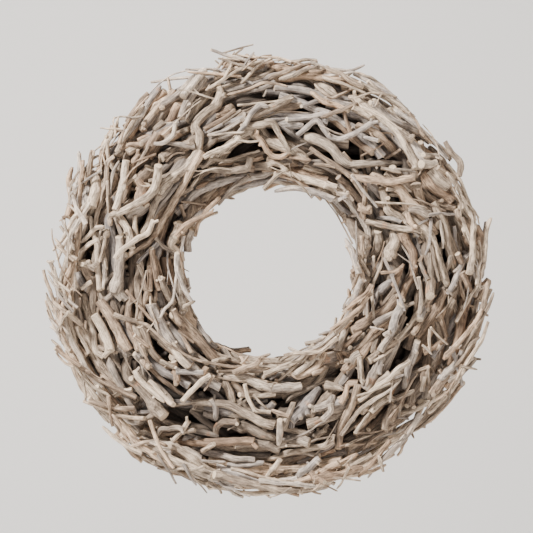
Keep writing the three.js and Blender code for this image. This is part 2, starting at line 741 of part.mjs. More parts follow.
nameRoots(laidRoots);
carveRoots(laidRoots);
const hardware = Manifold.union([frameSolid(clearance), loopSolid(clearance)]);
addNode('frame', frameSolid(), materials.steel);
addNode('hanging_loop', loopSolid(), materials.wire);
for (let bunch = 0; bunch < bunchCount; bunch++) {
  const name = bunchName(bunch);
  const core = coreSolid(bunch);
  const box = core.boundingBox();
  const own = laidRoots.filter(({ node }) => node === name);
  const others = laidRoots.filter(({ node, room }) => node !== name && boxesMeet(box, room));
  const heart = core.subtract(Manifold.union(others.map(({ swollen }) => swollen)));
  const whole = Manifold.union([heart, ...own.map(({ carved }) => carved)]);
  addNode(name, biggest(whole.subtract(hardware)), materials.bark);
}
laidRoots.filter(({ single }) => single).forEach(({ node, carved }) => {
  addNode(node, biggest(carved.subtract(hardware)), materials.pale);
});

export default wreath;
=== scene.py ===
import math

import bmesh
import bpy
import numpy as np
from mathutils import Matrix, Vector


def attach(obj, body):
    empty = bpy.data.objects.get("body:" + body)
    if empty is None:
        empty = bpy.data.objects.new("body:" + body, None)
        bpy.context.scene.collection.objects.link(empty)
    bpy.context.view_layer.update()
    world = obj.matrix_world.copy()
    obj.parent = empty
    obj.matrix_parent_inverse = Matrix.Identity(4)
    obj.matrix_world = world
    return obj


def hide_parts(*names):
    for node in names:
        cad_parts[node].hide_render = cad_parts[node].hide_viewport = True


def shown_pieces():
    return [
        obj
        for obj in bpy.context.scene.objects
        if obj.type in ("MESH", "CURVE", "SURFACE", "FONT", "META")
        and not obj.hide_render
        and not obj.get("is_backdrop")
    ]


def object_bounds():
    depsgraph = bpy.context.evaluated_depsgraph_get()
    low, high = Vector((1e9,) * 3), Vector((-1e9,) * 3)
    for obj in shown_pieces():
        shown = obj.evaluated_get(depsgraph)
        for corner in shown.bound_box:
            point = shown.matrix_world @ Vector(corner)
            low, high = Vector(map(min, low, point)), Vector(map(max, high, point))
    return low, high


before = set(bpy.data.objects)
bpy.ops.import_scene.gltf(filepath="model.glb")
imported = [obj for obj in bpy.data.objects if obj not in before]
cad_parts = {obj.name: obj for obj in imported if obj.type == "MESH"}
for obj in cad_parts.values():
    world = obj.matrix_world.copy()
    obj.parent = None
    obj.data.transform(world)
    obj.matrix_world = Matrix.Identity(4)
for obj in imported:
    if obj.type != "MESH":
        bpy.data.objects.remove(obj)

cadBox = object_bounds()
print("frame loaded:", len(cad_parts), "nodes")

# The camera stands straight before the wreath, as the photograph's does.
photoView = {
    "distance": 1.9,  # from the wall, in metres
    "pixelPlane": 0.080,  # so far before the wall one pixel is pixelSize wide
    "pixelSize": 0.00115,
    "pixels": 533,
    "ringCentre": (271, 272),  # where the wreath's middle is in the picture
    "ringCentreZ": -0.217,
    "sensorWidth": 36,
}


def placeCamera(s):
    lens = bpy.data.cameras.new("camera")
    halfWidth = s["pixels"] * s["pixelSize"] / 2
    lens.sensor_width = s["sensorWidth"]
    lens.lens = s["sensorWidth"] / 2 * (s["distance"] - s["pixelPlane"]) / halfWidth
    camera = bpy.data.objects.new("camera", lens)
    bpy.context.scene.collection.objects.link(camera)
    across = (s["ringCentre"][0] - s["pixels"] / 2) * s["pixelSize"]
    down = (s["ringCentre"][1] - s["pixels"] / 2) * s["pixelSize"]
    camera.location = (-across, -s["distance"], s["ringCentreZ"] + down)
    camera.rotation_euler = (math.radians(90), 0, 0)
    bpy.context.scene.camera = camera


placeCamera(photoView)

studio = {
    "floorHeight": -1.35,
    "sweepFront": -7,  # where the paper starts, behind the camera
    "sweepDepth": 3.2,  # from the wreath back to the upright part of the sweep
    "sweepRadius": 0.9,
    "sweepSteps": 14,
    "sweepWidth": 12.0,
    "sweepRise": 6,  # how high the paper goes above its curve
    "paper": (0.92, 0.90, 0.875),
    "roughness": 0.9,
    "sky": (0.80, 0.83, 0.88),
    "skyStrength": 0.60,
    "aim": (0, -0.05, photoView["ringCentreZ"]),
    # name, place, size, power, colour
    "lamps": [
        ("window", (-1.8, -1.45, 1.5), 0.5, 310, (1.0, 0.965, 0.92)),
        ("bounce", (2.2, -1.5, 0.5), 1.2, 34, (1.0, 0.88, 0.74)),
    ],
}


def pullEdge(bm, edge, way):  # grows a face from an edge, and gives the new edge
    grown = bmesh.ops.extrude_edge_only(bm, edges=[edge])["geom"]
    moved = [part for part in grown if isinstance(part, bmesh.types.BMVert)]
    bmesh.ops.translate(bm, verts=moved, vec=way)
    return next(e for e in moved[0].link_edges if e.other_vert(moved[0]) in moved)


def makeSweep(s):  # paper that runs along the floor and curves up behind the wreath
    bm = bmesh.new()
    half = s["sweepWidth"] / 2
    corner = s["sweepDepth"] - s["sweepRadius"]
    edge = bm.edges.new([bm.verts.new((x, s["sweepFront"], s["floorHeight"])) for x in (-half, half)])
    edge = pullEdge(bm, edge, (0, corner - s["sweepFront"], 0))
    turned = bmesh.ops.spin(bm, geom=[edge, *edge.verts], axis=(1, 0, 0), angle=math.radians(90),
                            cent=(0, corner, s["floorHeight"] + s["sweepRadius"]), steps=s["sweepSteps"])
    edge = next(part for part in turned["geom_last"] if isinstance(part, bmesh.types.BMEdge))
    pullEdge(bm, edge, (0, 0, s["sweepRise"]))
    mesh = bpy.data.meshes.new("paper_sweep")
    bm.to_mesh(mesh)
    bm.free()
    mesh.shade_smooth()
    sweep = bpy.data.objects.new("paper_sweep", mesh)
    bpy.context.scene.collection.objects.link(sweep)
    paper = bpy.data.materials.new("paper")
    paper.use_nodes = True
    shader = paper.node_tree.nodes["Principled BSDF"]
    shader.inputs["Base Color"].default_value = (*s["paper"], 1)
    shader.inputs["Roughness"].default_value = s["roughness"]
    mesh.materials.append(paper)
    sweep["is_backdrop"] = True


def makeLight(s):
    world = bpy.data.worlds.new("sky")
    world.use_nodes = True
    background = world.node_tree.nodes["Background"]
    background.inputs["Color"].default_value = (*s["sky"], 1)
    background.inputs["Strength"].default_value = s["skyStrength"]
    bpy.context.scene.world = world
    for name, place, size, power, colour in s["lamps"]:
        lamp = bpy.data.lights.new(name, "AREA")
        lamp.shape, lamp.size, lamp.energy, lamp.color = "DISK", size, power, colour
        stand = bpy.data.objects.new(name, lamp)
        stand.location = place
        stand.rotation_euler = (Vector(s["aim"]) - Vector(place)).to_track_quat("-Z", "Y").to_euler()
        bpy.context.scene.collection.objects.link(stand)


makeSweep(studio)
makeLight(studio)
print("studio ready")

# Everything below is in millimetres from the wreath's middle until a piece is made.
# These are the sizes and places that the CAD solids are made with.
roll = {
    "ringRadius": 169,
    "halfWidth": 71,
    "halfDepth": 52,
    "middleY": -56,
    "roundness": 2.2,  # of the oval that the roll's section is
    "hole": 94,
    "rim": 249,
    "face": -111,
}
heart = {
    "bunches": 12,
    "halfDepth": 28,
    "halfWidth": 46,
    "middleY": -47.5,
    "ridges": 6,
    "crest": 1.6,  # how high a ridge stands
    "ridgeRadius": 5,
    "sink": 2.6,  # how far the balls along a ridge lie under its crest
    "balls": 15,  # along a ridge
    "twist": 0.55,  # of the ridges along a bunch
    "turn": 0.7,  # of the ridges from one bunch to the next
}
ringFrame = {
    "hoops": (150, 194),
    "rodRadius": 3,
    "rodMiddleY": -6.6,
    "rodSides": 14,
    "rodSteps": 120,
    "straps": 6,
    "strapSize": (60, 5, 16),
    "strapEdge": 1.2,
    "weldRadius": 2.6,
    "weldShape": (0.75, 0.8, 2.6),  # times the radius
    "weldPlace": (2.9, 2.2),  # aside of the rod's middle and behind it
}
laying = {
    "clearance": 0.3,  # between two bunches
    "pressedShare": 0.27,  # of the thinner radius that two roots sink into each other
    "pressedDepth": 0.7,  # and so much more
    "firmDepth": 1.8,  # so deep in a bunch a root is held by it
    "holeLine": 78,  # a root stays beyond this line on its bunch's side of the hole
    "wallGap": 1.5,
    "wallShare": 1.15,  # of the radius that a root's middle stays off the wall as well
    "sampleStep": 4,  # between the balls that stand for a limb
    "endShare": 0.7,  # of the radius, from a limb's end to its first ball
    "startAway": 90,
    "leastTravel": 12,
    "sideTravel": 40,
    "rowTravel": 60,
    "beforeMiddle": 8,  # a traced root stops so far before the roll's middle
    "tilts": (-0.08, 0, 0.08),
    "sagShare": 0.4,
    "mostSag": 8,
    "margin": 12,
    "bendRoom": (1.2, 1.5),  # between two bends: of the radius times the turn's sine, and so much more
    "surfaceFollow": 0.6,  # how much a traced root follows the roll's oval
    "straightShare": 0.2,  # how much a root made by rule is straight, not curved round the ring
    "mostAttempts": 6,
    "rowShift": 0.618,  # of the space between two roots, from one row to the next
    "rowSpread": (0.2, 9),  # of that space, and degrees round the oval
    "thinnest": 10,  # thinner traced roots aren't in the solids
}
halfTurn, fullTurn = 3.14, 6.283  # near enough where an angle is drawn
toWall = np.array([0, 1.0, 0])


class Draws:  # seeded draws, so that the same wreath is made each time
    def __init__(self, state):
        self.state = state

    def between(self, low, high):
        self.state = (self.state * 1664525 + 1013904223) % 4294967296
        return low + (high - low) * (self.state / 4294967296)

    def pick(self, chances):  # one of several words, each with its chance
        left = self.between(0, sum(chances.values()))
        for word, chance in chances.items():
            left -= chance
            if left <= 0:
                return word
        return word


class Root:  # a root as it is seen from the front: two diameters, then x and z of each bend
    def __init__(self, start, end, *spots):
        self.limbs = [(start, end, spots)]
        self.key = spots[:2]  # the first bend, by which the lists below name a root
        self.single = False

    def fork(self, start, end, *spots):
        self.limbs.append((start, end, spots))
        return self

    def alone(self):  # a body of its own
        self.single = True
        return self

    def thickness(self):
        return max(self.limbs[0][:2])


# The photograph's roots. Plain numbers are a root of one diameter, then x and z of each bend.
topRoots = [
    Root(9, 6, -198, 128, -196, 150, -189, 163, -181, 169).fork(6, 5, -191, 163, -190, 174),
    Root(9, 8, -182, 128, -172, 152, -163, 178, -149, 200).alone(), (5, -176, 138, -160, 168, -148, 192),
    (7, -172, 150, -155, 172, -142, 195, -128, 215), (8, -165, 156, -150, 180, -135, 200, -124, 211),
    (10, -150, 163, -132, 188, -113, 211), Root(11, 8, -148, 168, -128, 190, -104, 208, -88, 228).alone(),
    (8, -100, 200, -88, 216, -76, 232), (11, -118, 172, -106, 194), (6, -148, 146, -160, 145, -173, 141),
    (5, -133, 146, -122, 147, -112, 155, -109, 170), (16, -153, 100, -138, 119),
    Root(11, 9, -57, 206, -63, 192, -81, 176, -87, 167, -82, 156, -84, 138, -97, 119, -110, 110, -122, 99,
        -128, 88).fork(5, 5, -122, 92, -111, 99).alone(),
    Root(9, 6, -78, 137, -95, 108, -112, 80, -125, 58, -132, 44, -141, 33, -149, 29, -163, 19, -173,
        10).alone(), (11, -72, 128, -82, 113, -93, 101),
    Root(10, 10, -68, 216, -74, 203, -86, 188, -96, 172).alone(),
    (9, -76, 224, -88, 206, -95, 193, -102, 175), (5, -68, 208, -40, 217, -10, 226, 10, 240),
    (7, -55, 208, -20, 217, 5, 227, 28, 231), (9, -36, 238, -15, 240, 2, 245),
    (13, -48, 194, -30, 200, -12, 206), Root(12, 7, -8, 208, 18, 205, 28, 196),
    (6, -41, 185, -60, 172, -76, 163), Root(6, 5, -3, 187, -12, 189, -22, 180, -28, 168, -36, 158, -42, 146),
    Root(9, 5, -30, 165, -12, 167, 1, 169, 8, 160, 14, 150, 20, 135),
    (6, -20, 158, -10, 147, -5, 139, 2, 132, 11, 131, 20, 135),
    Root(12, 12, -18, 180, 5, 176, 40, 177, 58, 176, 68, 170).alone(),
    (6, -76, 130, -60, 137, -45, 145, -35, 152), (8, -72, 118, -40, 116, -27, 119, -24, 131),
    Root(10, 7, -110, 68, -90, 88, -68, 101, -28, 110, -8, 112, 2, 118, 12, 116).alone(),
    (7, -5, 122, 3, 125, 15, 121), (8, 10, 113, 40, 107, 60, 100, 84, 90), (5, 20, 131, 45, 127),
    Root(8, 6, 5, 222, 40, 224, 75, 219, 100, 216, 115, 210, 135, 201).alone(),
    Root(12, 9, 116, 194, 125, 186, 145, 172, 165, 165, 185, 152).alone(),
    Root(9, 8, 95, 200, 110, 187, 128, 176, 140, 163, 150, 148, 158, 133, 166, 118).alone(),
    (9, 140, 165, 161, 151), (5, 57, 176, 78, 184, 98, 193), (6, 45, 205, 60, 195, 75, 190, 88, 184),
    (8, 92, 188, 104, 183, 115, 175),
    (6, 30, 156, 40, 163, 52, 172, 60, 162, 66, 154, 78, 151, 92, 156, 110, 167, 117, 171),
    Root(13, 7, 38, 155, 55, 150, 68, 143, 80, 130, 88, 125, 105, 124, 130, 124, 150, 126).fork(6, 5, 86,
        124, 100, 111).alone(), (8, 92, 108, 110, 105, 135, 103, 162, 107), (5, 125, 118, 148, 112),
    (12, 138, 184, 153, 187), (6, 172, 133, 190, 132), (10, 170, 122, 188, 124), (10, 62, 170, 80, 166),
    (12, 62, 210, 75, 205),
]
rightRoots = [
    (8, 101, 78, 106, 72, 114, 70), (9, 126, 95, 130, 84, 135, 71, 148, 62, 152, 57),
    (12, 140, 99, 148, 91, 154, 84, 163, 75),
    Root(10, 8, 163, 118, 166, 110, 173, 96, 181, 85, 187, 81, 199, 76, 212, 73).alone(),
    (14, 173, 115, 183, 104, 193, 93, 209, 82), (14, 183, 117, 193, 105, 203, 99),
    (6, 189, 119, 203, 110, 214, 108), (6, 205, 95, 214, 85, 223, 80), (8, 211, 80, 217, 75, 219, 71),
    (7, 212, 73, 216, 62, 224, 55, 231, 45), (8, 218, 76, 229, 62),
    Root(6, 5, 183, 59, 189, 37, 199, 24, 205, 17, 208, 5, 206, -7).alone(), (12, 198, 59, 204, 49, 212, 44),
    (5, 214, 47, 216, 38, 219, 26), (13, 204, 47, 207, 33, 206, 19),
    Root(8, 6, 110, 58, 125, 54, 142, 50, 157, 48, 171, 46), (5, 121, 62, 140, 61, 148, 57),
    (9, 156, 71, 167, 70, 177, 64), (6, 154, 67, 157, 58, 163, 51),
    Root(9, 7, 79, 107, 88, 90, 97, 71, 108, 59, 113, 45, 113, 30, 109, 17, 107, 6).alone(),
    Root(10, 8, 123, 48, 126, 38, 125, 26, 114, 18, 110, 13),
    Root(12, 12, 141, 47, 143, 36, 137, 24, 136, 15).fork(6, 5, 139, 16, 147, 20),
    Root(11, 8, 149, 48, 154, 36, 162, 23, 163, 6, 162, -5, 154, -17, 149, -30).fork(5, 5, 158, 45, 163, 39,
        169, 30, 172, 24).alone(), (5, 170, 11, 179, -8), (7, 173, 18, 170, 11),
    (12, 187, -3, 181, -17, 178, -28), (9, 106, -6, 99, -17, 86, -48), (6, 221, 49, 229, 34, 238, 26),
    (7, 224, 42, 228, 30), Root(8, 6, 228, 20, 220, 11, 214, 0, 206, -17, 201, -25), (7, 213, 21, 218, 10),
    (7, 219, 0, 225, -15, 232, -27), (8, 240, -17, 234, -28), (6, 227, 13, 234, 0, 239, -15),
    (10, 139, -9, 128, -19, 119, -28), Root(11, 13, 145, -30, 132, -43, 119, -51, 104, -61, 92, -68).alone(),
    (9, 148, -37, 142, -49, 138, -63, 135, -72), (9, 163, -1, 154, -15, 149, -28),
    Root(8, 6, 185, -28, 175, -45, 167, -61, 157, -72, 148, -82, 140, -92, 132, -109).alone(),
    (5, 168, -6, 171, -28, 169, -49),
    Root(9, 8, 200, -22, 191, -41, 183, -53, 175, -64, 167, -75).fork(7, 6, 193, -44, 198, -59, 205,
        -77).alone(), Root(8, 9, 167, -79, 162, -95, 157, -113, 152, -134).alone(), (5, 193, -83, 188, -89),
    Root(12, 10, 223, -31, 220, -49, 217, -69, 212, -90, 207, -108).alone(), (8, 228, -39, 227, -61),
    (6, 234, -39, 235, -59, 231, -69), (8, 209, -31, 204, -40), (10, 212, -44, 206, -58),
    Root(13, 13, 132, -76, 116, -87, 107, -106).alone(), (6, 125, -95, 124, -117),
    Root(6, 5, 157, -101, 146, -108, 135, -119, 121, -129, 100, -146), (8, 137, -140, 121, -150, 113, -159),
    Root(8, 10, 189, -102, 180, -111, 170, -126, 162, -141, 161, -152).alone(), (6, 175, -119, 173, -136),
    (6, 195, -110, 193, -118), (5, 203, -135, 196, -143), (6, 128, -72, 135, -68),
]
bottomRoots = [
    (7, 101, -96, 102, -122),
    Root(7, 5, 101, -124, 81, -124, 60, -126, 50, -130, 40, -135, 24, -143, 18, -150).alone(),
    (6, 66, -105, 59, -120, 49, -131), Root(12, 12, 56, -133, 43, -149, 33, -161, 22, -171).alone(),
    Root(8, 8, 71, -140, 66, -150, 60, -153, 48, -156).fork(8, 7, 68, -150, 69, -158, 60, -169),
    Root(9, 9, 99, -128, 94, -143, 87, -162, 80, -178, 77, -203).alone(), (6, 87, -129, 84, -138, 79, -149),
    (5, 135, -134, 120, -143, 102, -155, 91, -170, 80, -187),
    Root(7, 9, 129, -143, 118, -155, 110, -172, 101, -182, 98, -189).alone(),
    (8, 141, -151, 135, -164, 130, -180), (7, 10, -168, 10, -182, 8, -198), (7, 46, -199, 52, -187, 62, -181),
    (7, -4, -215, 24, -208, 45, -203, 62, -200, 71, -193), (6, 10, -214, 2, -226, -6, -239),
    (5, 48, -215, 60, -208, 73, -204), (5, 131, -202, 101, -204, 81, -205),
    (5, 159, -182, 137, -188, 119, -192), (5, 99, -208, 81, -217, 66, -227), (6, 96, -216, 81, -227),
    (6, 62, -227, 47, -245), Root(8, 8, 56, -213, 44, -222, 33, -233, 17, -249).alone(),
    (7, 52, -222, 42, -231), (5, 15, -229, 32, -228), (9, -1, -238, 24, -233), (6, 1, -246, 19, -240),
    Root(8, 7, 62, -92, 53, -108, 43, -115, 31, -119, 22, -112), (6, 35, -95, 46, -100, 52, -101),
    (10, -1, -134, 19, -132, 34, -131), (5, 1, -157, 9, -160, 20, -164), (6, 77, -93, 81, -103),
    (8, 91, -103, 95, -96, 101, -92), (6, 47, -117, 56, -114, 62, -109),
    Root(9, 10, -63, -110, -54, -124, -47, -139, -44, -149),
    Root(8, 11, -89, -150, -67, -150, -47, -152, -28, -162, -10, -171, 4, -175).alone(),
    (6, -69, -117, -82, -127, -92, -136, -101, -147), (6, -73, -108, -77, -117),
    (5, -30, -128, -25, -145, -18, -158, 0, -160), (6, -36, -140, -18, -142, 5, -140),
    (7, -69, -145, -63, -156, -63, -169), (14, -55, -172, -40, -175, -26, -178, -11, -185, 5, -190),
    (7, -38, -171, -54, -172, -61, -178, -63, -190), (9, -42, -198, -26, -197, -6, -198, 10, -205),
    Root(10, 9, -122, -204, -103, -205, -77, -207, -47, -211, -26, -212).alone(),
    (6, -80, -206, -69, -200, -65, -197), Root(6, 5, -94, -170, -101, -181, -113, -194),
    (7, -30, -231, -19, -234, -9, -241), (7, -50, -222, -26, -222, -8, -218),
    (9, -100, -192, -82, -196, -67, -196),
    Root(12, 12, -139, -176, -120, -173, -100, -173, -82, -177, -65, -188).alone(),
    (6, -132, -189, -126, -180, -110, -178, -100, -180), (8, -111, -102, -107, -125),
    (6, -108, -114, -77, -114), (6, -139, -124, -124, -139, -110, -150),
    Root(11, 11, -54, -119, -26, -123, -11, -129, 3, -133).alone(),
    (10, -68, -94, -57, -99, -47, -101, -26, -101), (6, -78, -218, -76, -232),
    (5, -82, -241, -57, -238, -44, -248), (7, -42, -244, -11, -242), (6, 41, -92, 75, -85),
]
leftRoots = [
    Root(8, 8, -249, -54, -243, -69, -234, -82, -226, -94).alone(),
    Root(8, 7, -219, -89, -212, -108, -203, -120, -194, -132),
    Root(8, 6, -213, -142, -200, -157, -182, -169, -167, -180, -154, -188).alone(),
    (13, -177, -82, -166, -88, -161, -96),
    Root(9, 7, -187, -99, -180, -113, -172, -130, -164, -147, -157, -163).alone(),
    Root(10, 13, -163, -97, -167, -110, -164, -120, -151, -130, -141, -141, -131, -155, -122, -165).fork(6,
        6, -133, -160, -141, -169, -158, -180).alone(), (6, -155, -112, -151, -119, -136, -133, -121, -147),
    (10, -155, -106, -141, -116, -131, -122, -110, -128), (6, -156, -93, -149, -99),
    (8, -148, -100, -138, -108), Root(8, 10, -147, -66, -141, -81, -136, -95, -133, -111),
    (8, -122, -84, -121, -100), (9, -114, -82, -105, -95, -94, -107),
    (5, -189, -146, -178, -142, -167, -136, -159, -134), (5, -166, -169, -151, -168, -142, -169),
    (6, -155, -190, -143, -194, -131, -196, -121, -199), (6, -218, -116, -209, -128, -197, -145),
    (16, -153, -150, -136, -161),
    Root(9, 8, -127, 120, -129, 108, -132, 96, -138, 88, -151, 79, -164, 71, -176, 67, -183, 64).alone(),
    Root(8, 6, -128, 87, -133, 77, -138, 62, -146, 44), (6, -133, 59, -139, 46, -151, 37, -166, 27, -176, 15),
    (8, -175, 68, -167, 56, -162, 48, -159, 38, -157, 27), (5, -155, 64, -155, 48, -153, 38),
    Root(10, 12, -173, 40, -173, 22, -174, 7, -177, -13, -180, -22).fork(6, 6, -178, -17, -182, -27, -190,
        -33).fork(10, 9, -176, -20, -167, -29, -162, -33).alone(),
    Root(12, 8, -153, 24, -152, 7, -155, -9, -157, -35, -159, -50, -164, -61).fork(6, 5, -159, -52, -158,
        -61, -152, -60).alone(), (9, -166, 14, -159, 4),
    (9, -104, 56, -110, 42, -115, 32, -105, 22, -103, 12), (5, -131, 39, -123, 29, -110, 22),
    (11, -107, 16, -105, -15, -103, -37, -101, -45), Root(6, 8, -136, 27, -134, 10, -131, -5, -128, -20),
    (7, -126, -7, -121, -20, -116, -32, -111, -37), (10, -143, -17, -142, -30, -145, -43),
    Root(6, 7, -217, 111, -218, 89, -218, 68, -220, 43, -224, 22, -228, 2, -232, -12, -242, -35, -246,
        -43).alone(), (5, -180, 132, -186, 127, -188, 104, -193, 84, -199, 63, -201, 48),
    Root(8, 8, -165, 127, -167, 104, -173, 83, -177, 70).alone(),
    (8, -150, 135, -155, 127, -159, 115, -164, 97, -170, 79), (14, -143, 99, -147, 79),
    (5, -153, 110, -165, 100), (5, -218, 34, -208, 42, -200, 50, -190, 52),
    Root(5, 6, -192, 40, -208, 33, -218, 24, -222, 7),
    Root(5, 7, -207, 63, -204, 46, -199, 32, -198, 7, -196, -21).alone(), (8, -184, 64, -183, 53),
    (9, -212, 9, -200, 4), (5, -210, 24, -201, 15),
    (6, -235, 81, -234, 68, -234, 48, -237, 27, -236, 7, -237, -21),
    (6, -229, 99, -223, 68, -229, 48, -232, 20), (14, -211, 115, -210, 94, -210, 74),
    (12, -203, 115, -201, 89, -205, 74),
    Root(12, 11, -196, -33, -184, -48, -178, -62, -169, -78, -162, -89).alone(),
    (10, -202, -49, -194, -61, -187, -76, -183, -90),
    Root(9, 7, -216, -25, -213, -40, -208, -54, -204, -69, -200, -92, -192, -97).alone(),
    Root(12, 12, -166, -64, -157, -76, -146, -92, -138, -100).alone(), (10, -130, -25, -126, -40),
    (7, -112, -43, -106, -56, -100, -62), Root(10, 10, -121, -54, -115, -69, -105, -86, -97, -100).alone(),
    (14, -121, 16, -119, -15), (8, -223, 0, -216, -15, -209, -20), (5, -217, -19, -205, -11),
    (5, -226, -17, -223, -35, -220, -54, -219, -61),
    (6, -235, -61, -227, -74, -220, -86, -213, -101, -205, -117), (5, -223, -62, -215, -79, -209, -93),
    (5, -155, -72, -146, -79, -138, -86), (9, -91, 50, -96, 38, -97, 24), (9, -76, 71, -90, 57),
    (5, -72, 78, -58, 82), (6, 75, 90, 89, 87), (6, 63, 101, 75, 97), (12, 89, 62, 99, 43, 110, 37),
    (6, 90, 0, 105, 12), (8, 77, -70, 92, -54), (7, 63, -85, 77, -70),
]
# Ends that are cut bright: x and z.
brightCuts = [
    (-212, 9), (-113, 211), (-106, 194), (-173, 141), (-109, 170), (-153, 100), (-138, 119), (-72, 128),
    (-68, 216), (-76, 224), (-12, 206), (-41, 185), (-35, 152), (15, 121), (116, 194), (161, 151), (88, 184),
    (117, 171), (162, 107), (153, 187), (80, 166), (114, 70), (126, 95), (212, 73), (229, 62), (206, -7),
    (171, 46), (178, -28), (92, -68), (167, -75), (206, -58), (107, -106), (22, -171), (48, -156), (60, -169),
    (77, -203), (98, -189), (130, -180), (10, -168), (-101, -147), (-30, -128), (-69, -145), (-42, -198),
    (-80, -206), (-139, -176), (-111, -102), (-68, -94), (-194, -132), (-213, -142), (-177, -82),
    (-155, -106), (-156, -93), (-138, -108), (-122, -84), (-127, 120), (-155, 64), (-173, 40), (-104, 56),
    (-136, 27), (-126, -7), (-143, -17), (-165, 127), (-150, 135), (-196, -21), (-202, -49), (-183, -90),
    (-112, -43), (-155, -72), (-38, -170),
]
# Twigs and thin roots: the first diameter, then x and z of each bend.
twigs = [
    (2.5, -145, 130, -135, 134, -128, 131), (4, -128, 140, -128, 122), (2.5, -120, 126, -110, 135, -97, 136),
    (4, -222, 100, -212, 118, -205, 130, -198, 134), (4, -213, 100, -208, 118, -203, 138),
    (4, -216, 105, -215, 128), (4, -117, 212, -119, 220, -121, 228), (3, -34, 246, -45, 237, -58, 223),
    (4, -50, 203, -25, 210, -8, 217, 18, 212), (3, -38, 190, -15, 192, 15, 195, 25, 198),
    (4, -34, 185, -52, 172, -72, 160), (4, -55, 168, -72, 159), (4, -35, 172, -50, 162, -72, 156),
    (3, -30, 158, -50, 157, -72, 155), (2.5, -20, 172, -5, 177, 8, 182, 42, 182),
    (3, -38, 147, -25, 145, -12, 147), (4, -70, 128, -50, 127, -30, 134, -13, 139), (4, 24, 114, 34, 105),
    (2, 15, 132, 28, 142, 40, 147), (4, 40, 133, 52, 140), (2, 20, 234, 35, 246), (4, 28, 228, 43, 236),
    (2, 30, 230, 42, 231), (4, 50, 215, 60, 204, 68, 198, 80, 203, 92, 210), (3, 117, 171, 118, 178),
    (3, 111, 161, 117, 152, 123, 148), (3.5, 95, 155, 104, 144), (5, 105, 153, 122, 149),
    (2.5, 102, 132, 118, 140, 130, 147), (2.5, 120, 140, 128, 131), (4, 130, 130, 148, 140),
    (2, 123, 158, 138, 158, 139, 152), (4, 140, 117, 165, 115), (3.5, 91, 110, 104, 92, 112, 83, 121, 73),
    (3, 155, 178, 166, 182), (3.5, 65, 224, 80, 231), (2.5, 75, 224, 90, 226),
    (3, 114, 80, 140, 78, 159, 77, 176, 73), (5, 131, 94, 141, 93), (4, 209, 98, 221, 96),
    (4, 177, 64, 191, 67, 210, 66), (3, 167, 54, 180, 61), (4, 182, 61, 181, 47, 179, 30, 176, 20),
    (4, 182, 30, 186, 11, 192, -10), (3.5, 186, 36, 190, 18, 198, -8), (4, 192, 59, 195, 42, 196, 27),
    (5, 139, 14, 146, 7), (4, 129, 17, 126, 6, 118, -10, 116, -30, 118, -54),
    (4, 129, 16, 138, -5, 146, -28, 151, -44), (4, 125, -1, 140, 1, 150, 6), (4, 95, 14, 104, 18),
    (4, 96, 8, 103, 11), (4, 109, 10, 115, 9), (4, 108, 6, 110, -10, 110, -54), (3, 236, 30, 236, 22),
    (4, 233, 16, 237, 8), (3, 208, 0, 216, 6), (3.5, 140, -87, 130, -93, 117, -101),
    (4, 181, -65, 180, -80, 181, -92), (3, 172, -83, 183, -94), (3, 182, -63, 191, -74, 202, -83),
    (3, 215, -11, 218, -24, 225, -35, 235, -42), (2.5, 200, -20, 207, -27), (3, 152, -117, 138, -122),
    (3, 135, -126, 116, -134, 97, -140), (4, 148, -121, 135, -134, 121, -143, 111, -150),
    (3.5, 179, -110, 181, -136, 183, -151), (4, 219, -97, 212, -112), (5, 226, -82, 222, -88),
    (3, 113, -63, 129, -66), (4, 112, -160, 95, -183), (4, 111, -120, 108, -130),
    (3, 13, -191, 20, -191, 42, -182, 56, -173, 65, -169), (4, 52, -179, 60, -177, 73, -182),
    (4, 120, -186, 101, -192, 84, -200), (4, 149, -170, 132, -182, 117, -192, 107, -204),
    (4, 141, -200, 127, -209, 111, -216), (3, 125, -211, 106, -220), (3.5, 97, -221, 87, -232, 77, -249),
    (4, 70, -230, 56, -244), (4, 77, -226, 76, -234), (4, 20, -112, 9, -118, -1, -124),
    (4, -1, -111, 21, -109, 48, -107), (4, 148, -151, 148, -160), (3, -65, -118, -76, -135),
    (3, -20, -140, -11, -150, -3, -157), (5, -57, -225, -50, -228), (4, -90, -216, -67, -217, -52, -217),
    (4, -133, -195, -119, -200), (4, -114, -153, -88, -150), (3, -108, -131, -100, -132),
    (2.5, -97, -116, -85, -126), (2.5, -95, -111, -88, -103),
    (3.5, -140, -60, -117, -80, -99, -93, -82, -101, -57, -106, -26, -109, 0, -110, 21, -107, 50, -106),
    (3.5, -61, -114, -36, -114, -11, -114, 0, -111), (4, -136, -222, -122, -221), (4, -132, -207, -132, -218),
    (3, -129, -213, -116, -221), (3, -114, -233, -100, -231), (4, -28, -101, -30, -91, -34, -86),
    (3.5, -30, -91, -22, -83), (4, 20, -87, 38, -95, 55, -100), (7, -127, -95, -118, -91),
    (5, -126, -101, -110, -108), (4, -197, -118, -187, -124, -174, -136),
    (4, -180, -144, -167, -157, -158, -166), (3, -224, -100, -222, -120),
    (4, -100, 42, -103, 27, -107, 7, -110, -15, -113, -34, -121, -42, -126, -53),
    (4, -165, -21, -149, -39, -133, -56, -127, -58), (4, -174, 127, -180, 115, -182, 99, -184, 79, -185, 60),
    (4, -187, 104, -186, 83, -185, 68), (4.5, -188, 48, -191, 27, -197, 9),
    (3, -235, 56, -242, 46, -241, 37, -238, 27), (3, -236, 79, -231, 81, -224, 68), (4, -242, 9, -242, -8),
    (3, -230, 27, -234, 20), (4, -132, -21, -132, -35), (4, -229, -21, -226, -50),
    (3, -254, -42, -244, -50, -236, -57), (3, -213, -56, -213, -68), (4, -104, 78, -98, 62),
    (7, -93, -16, -99, -22), (4, -84, -32, -97, -38), (3, -103, 81, -75, 78), (4, 70, 76, 82, 82),
    (2.5, 82, 56, 86, 60), (5, -8, -95, 7, -97),
]
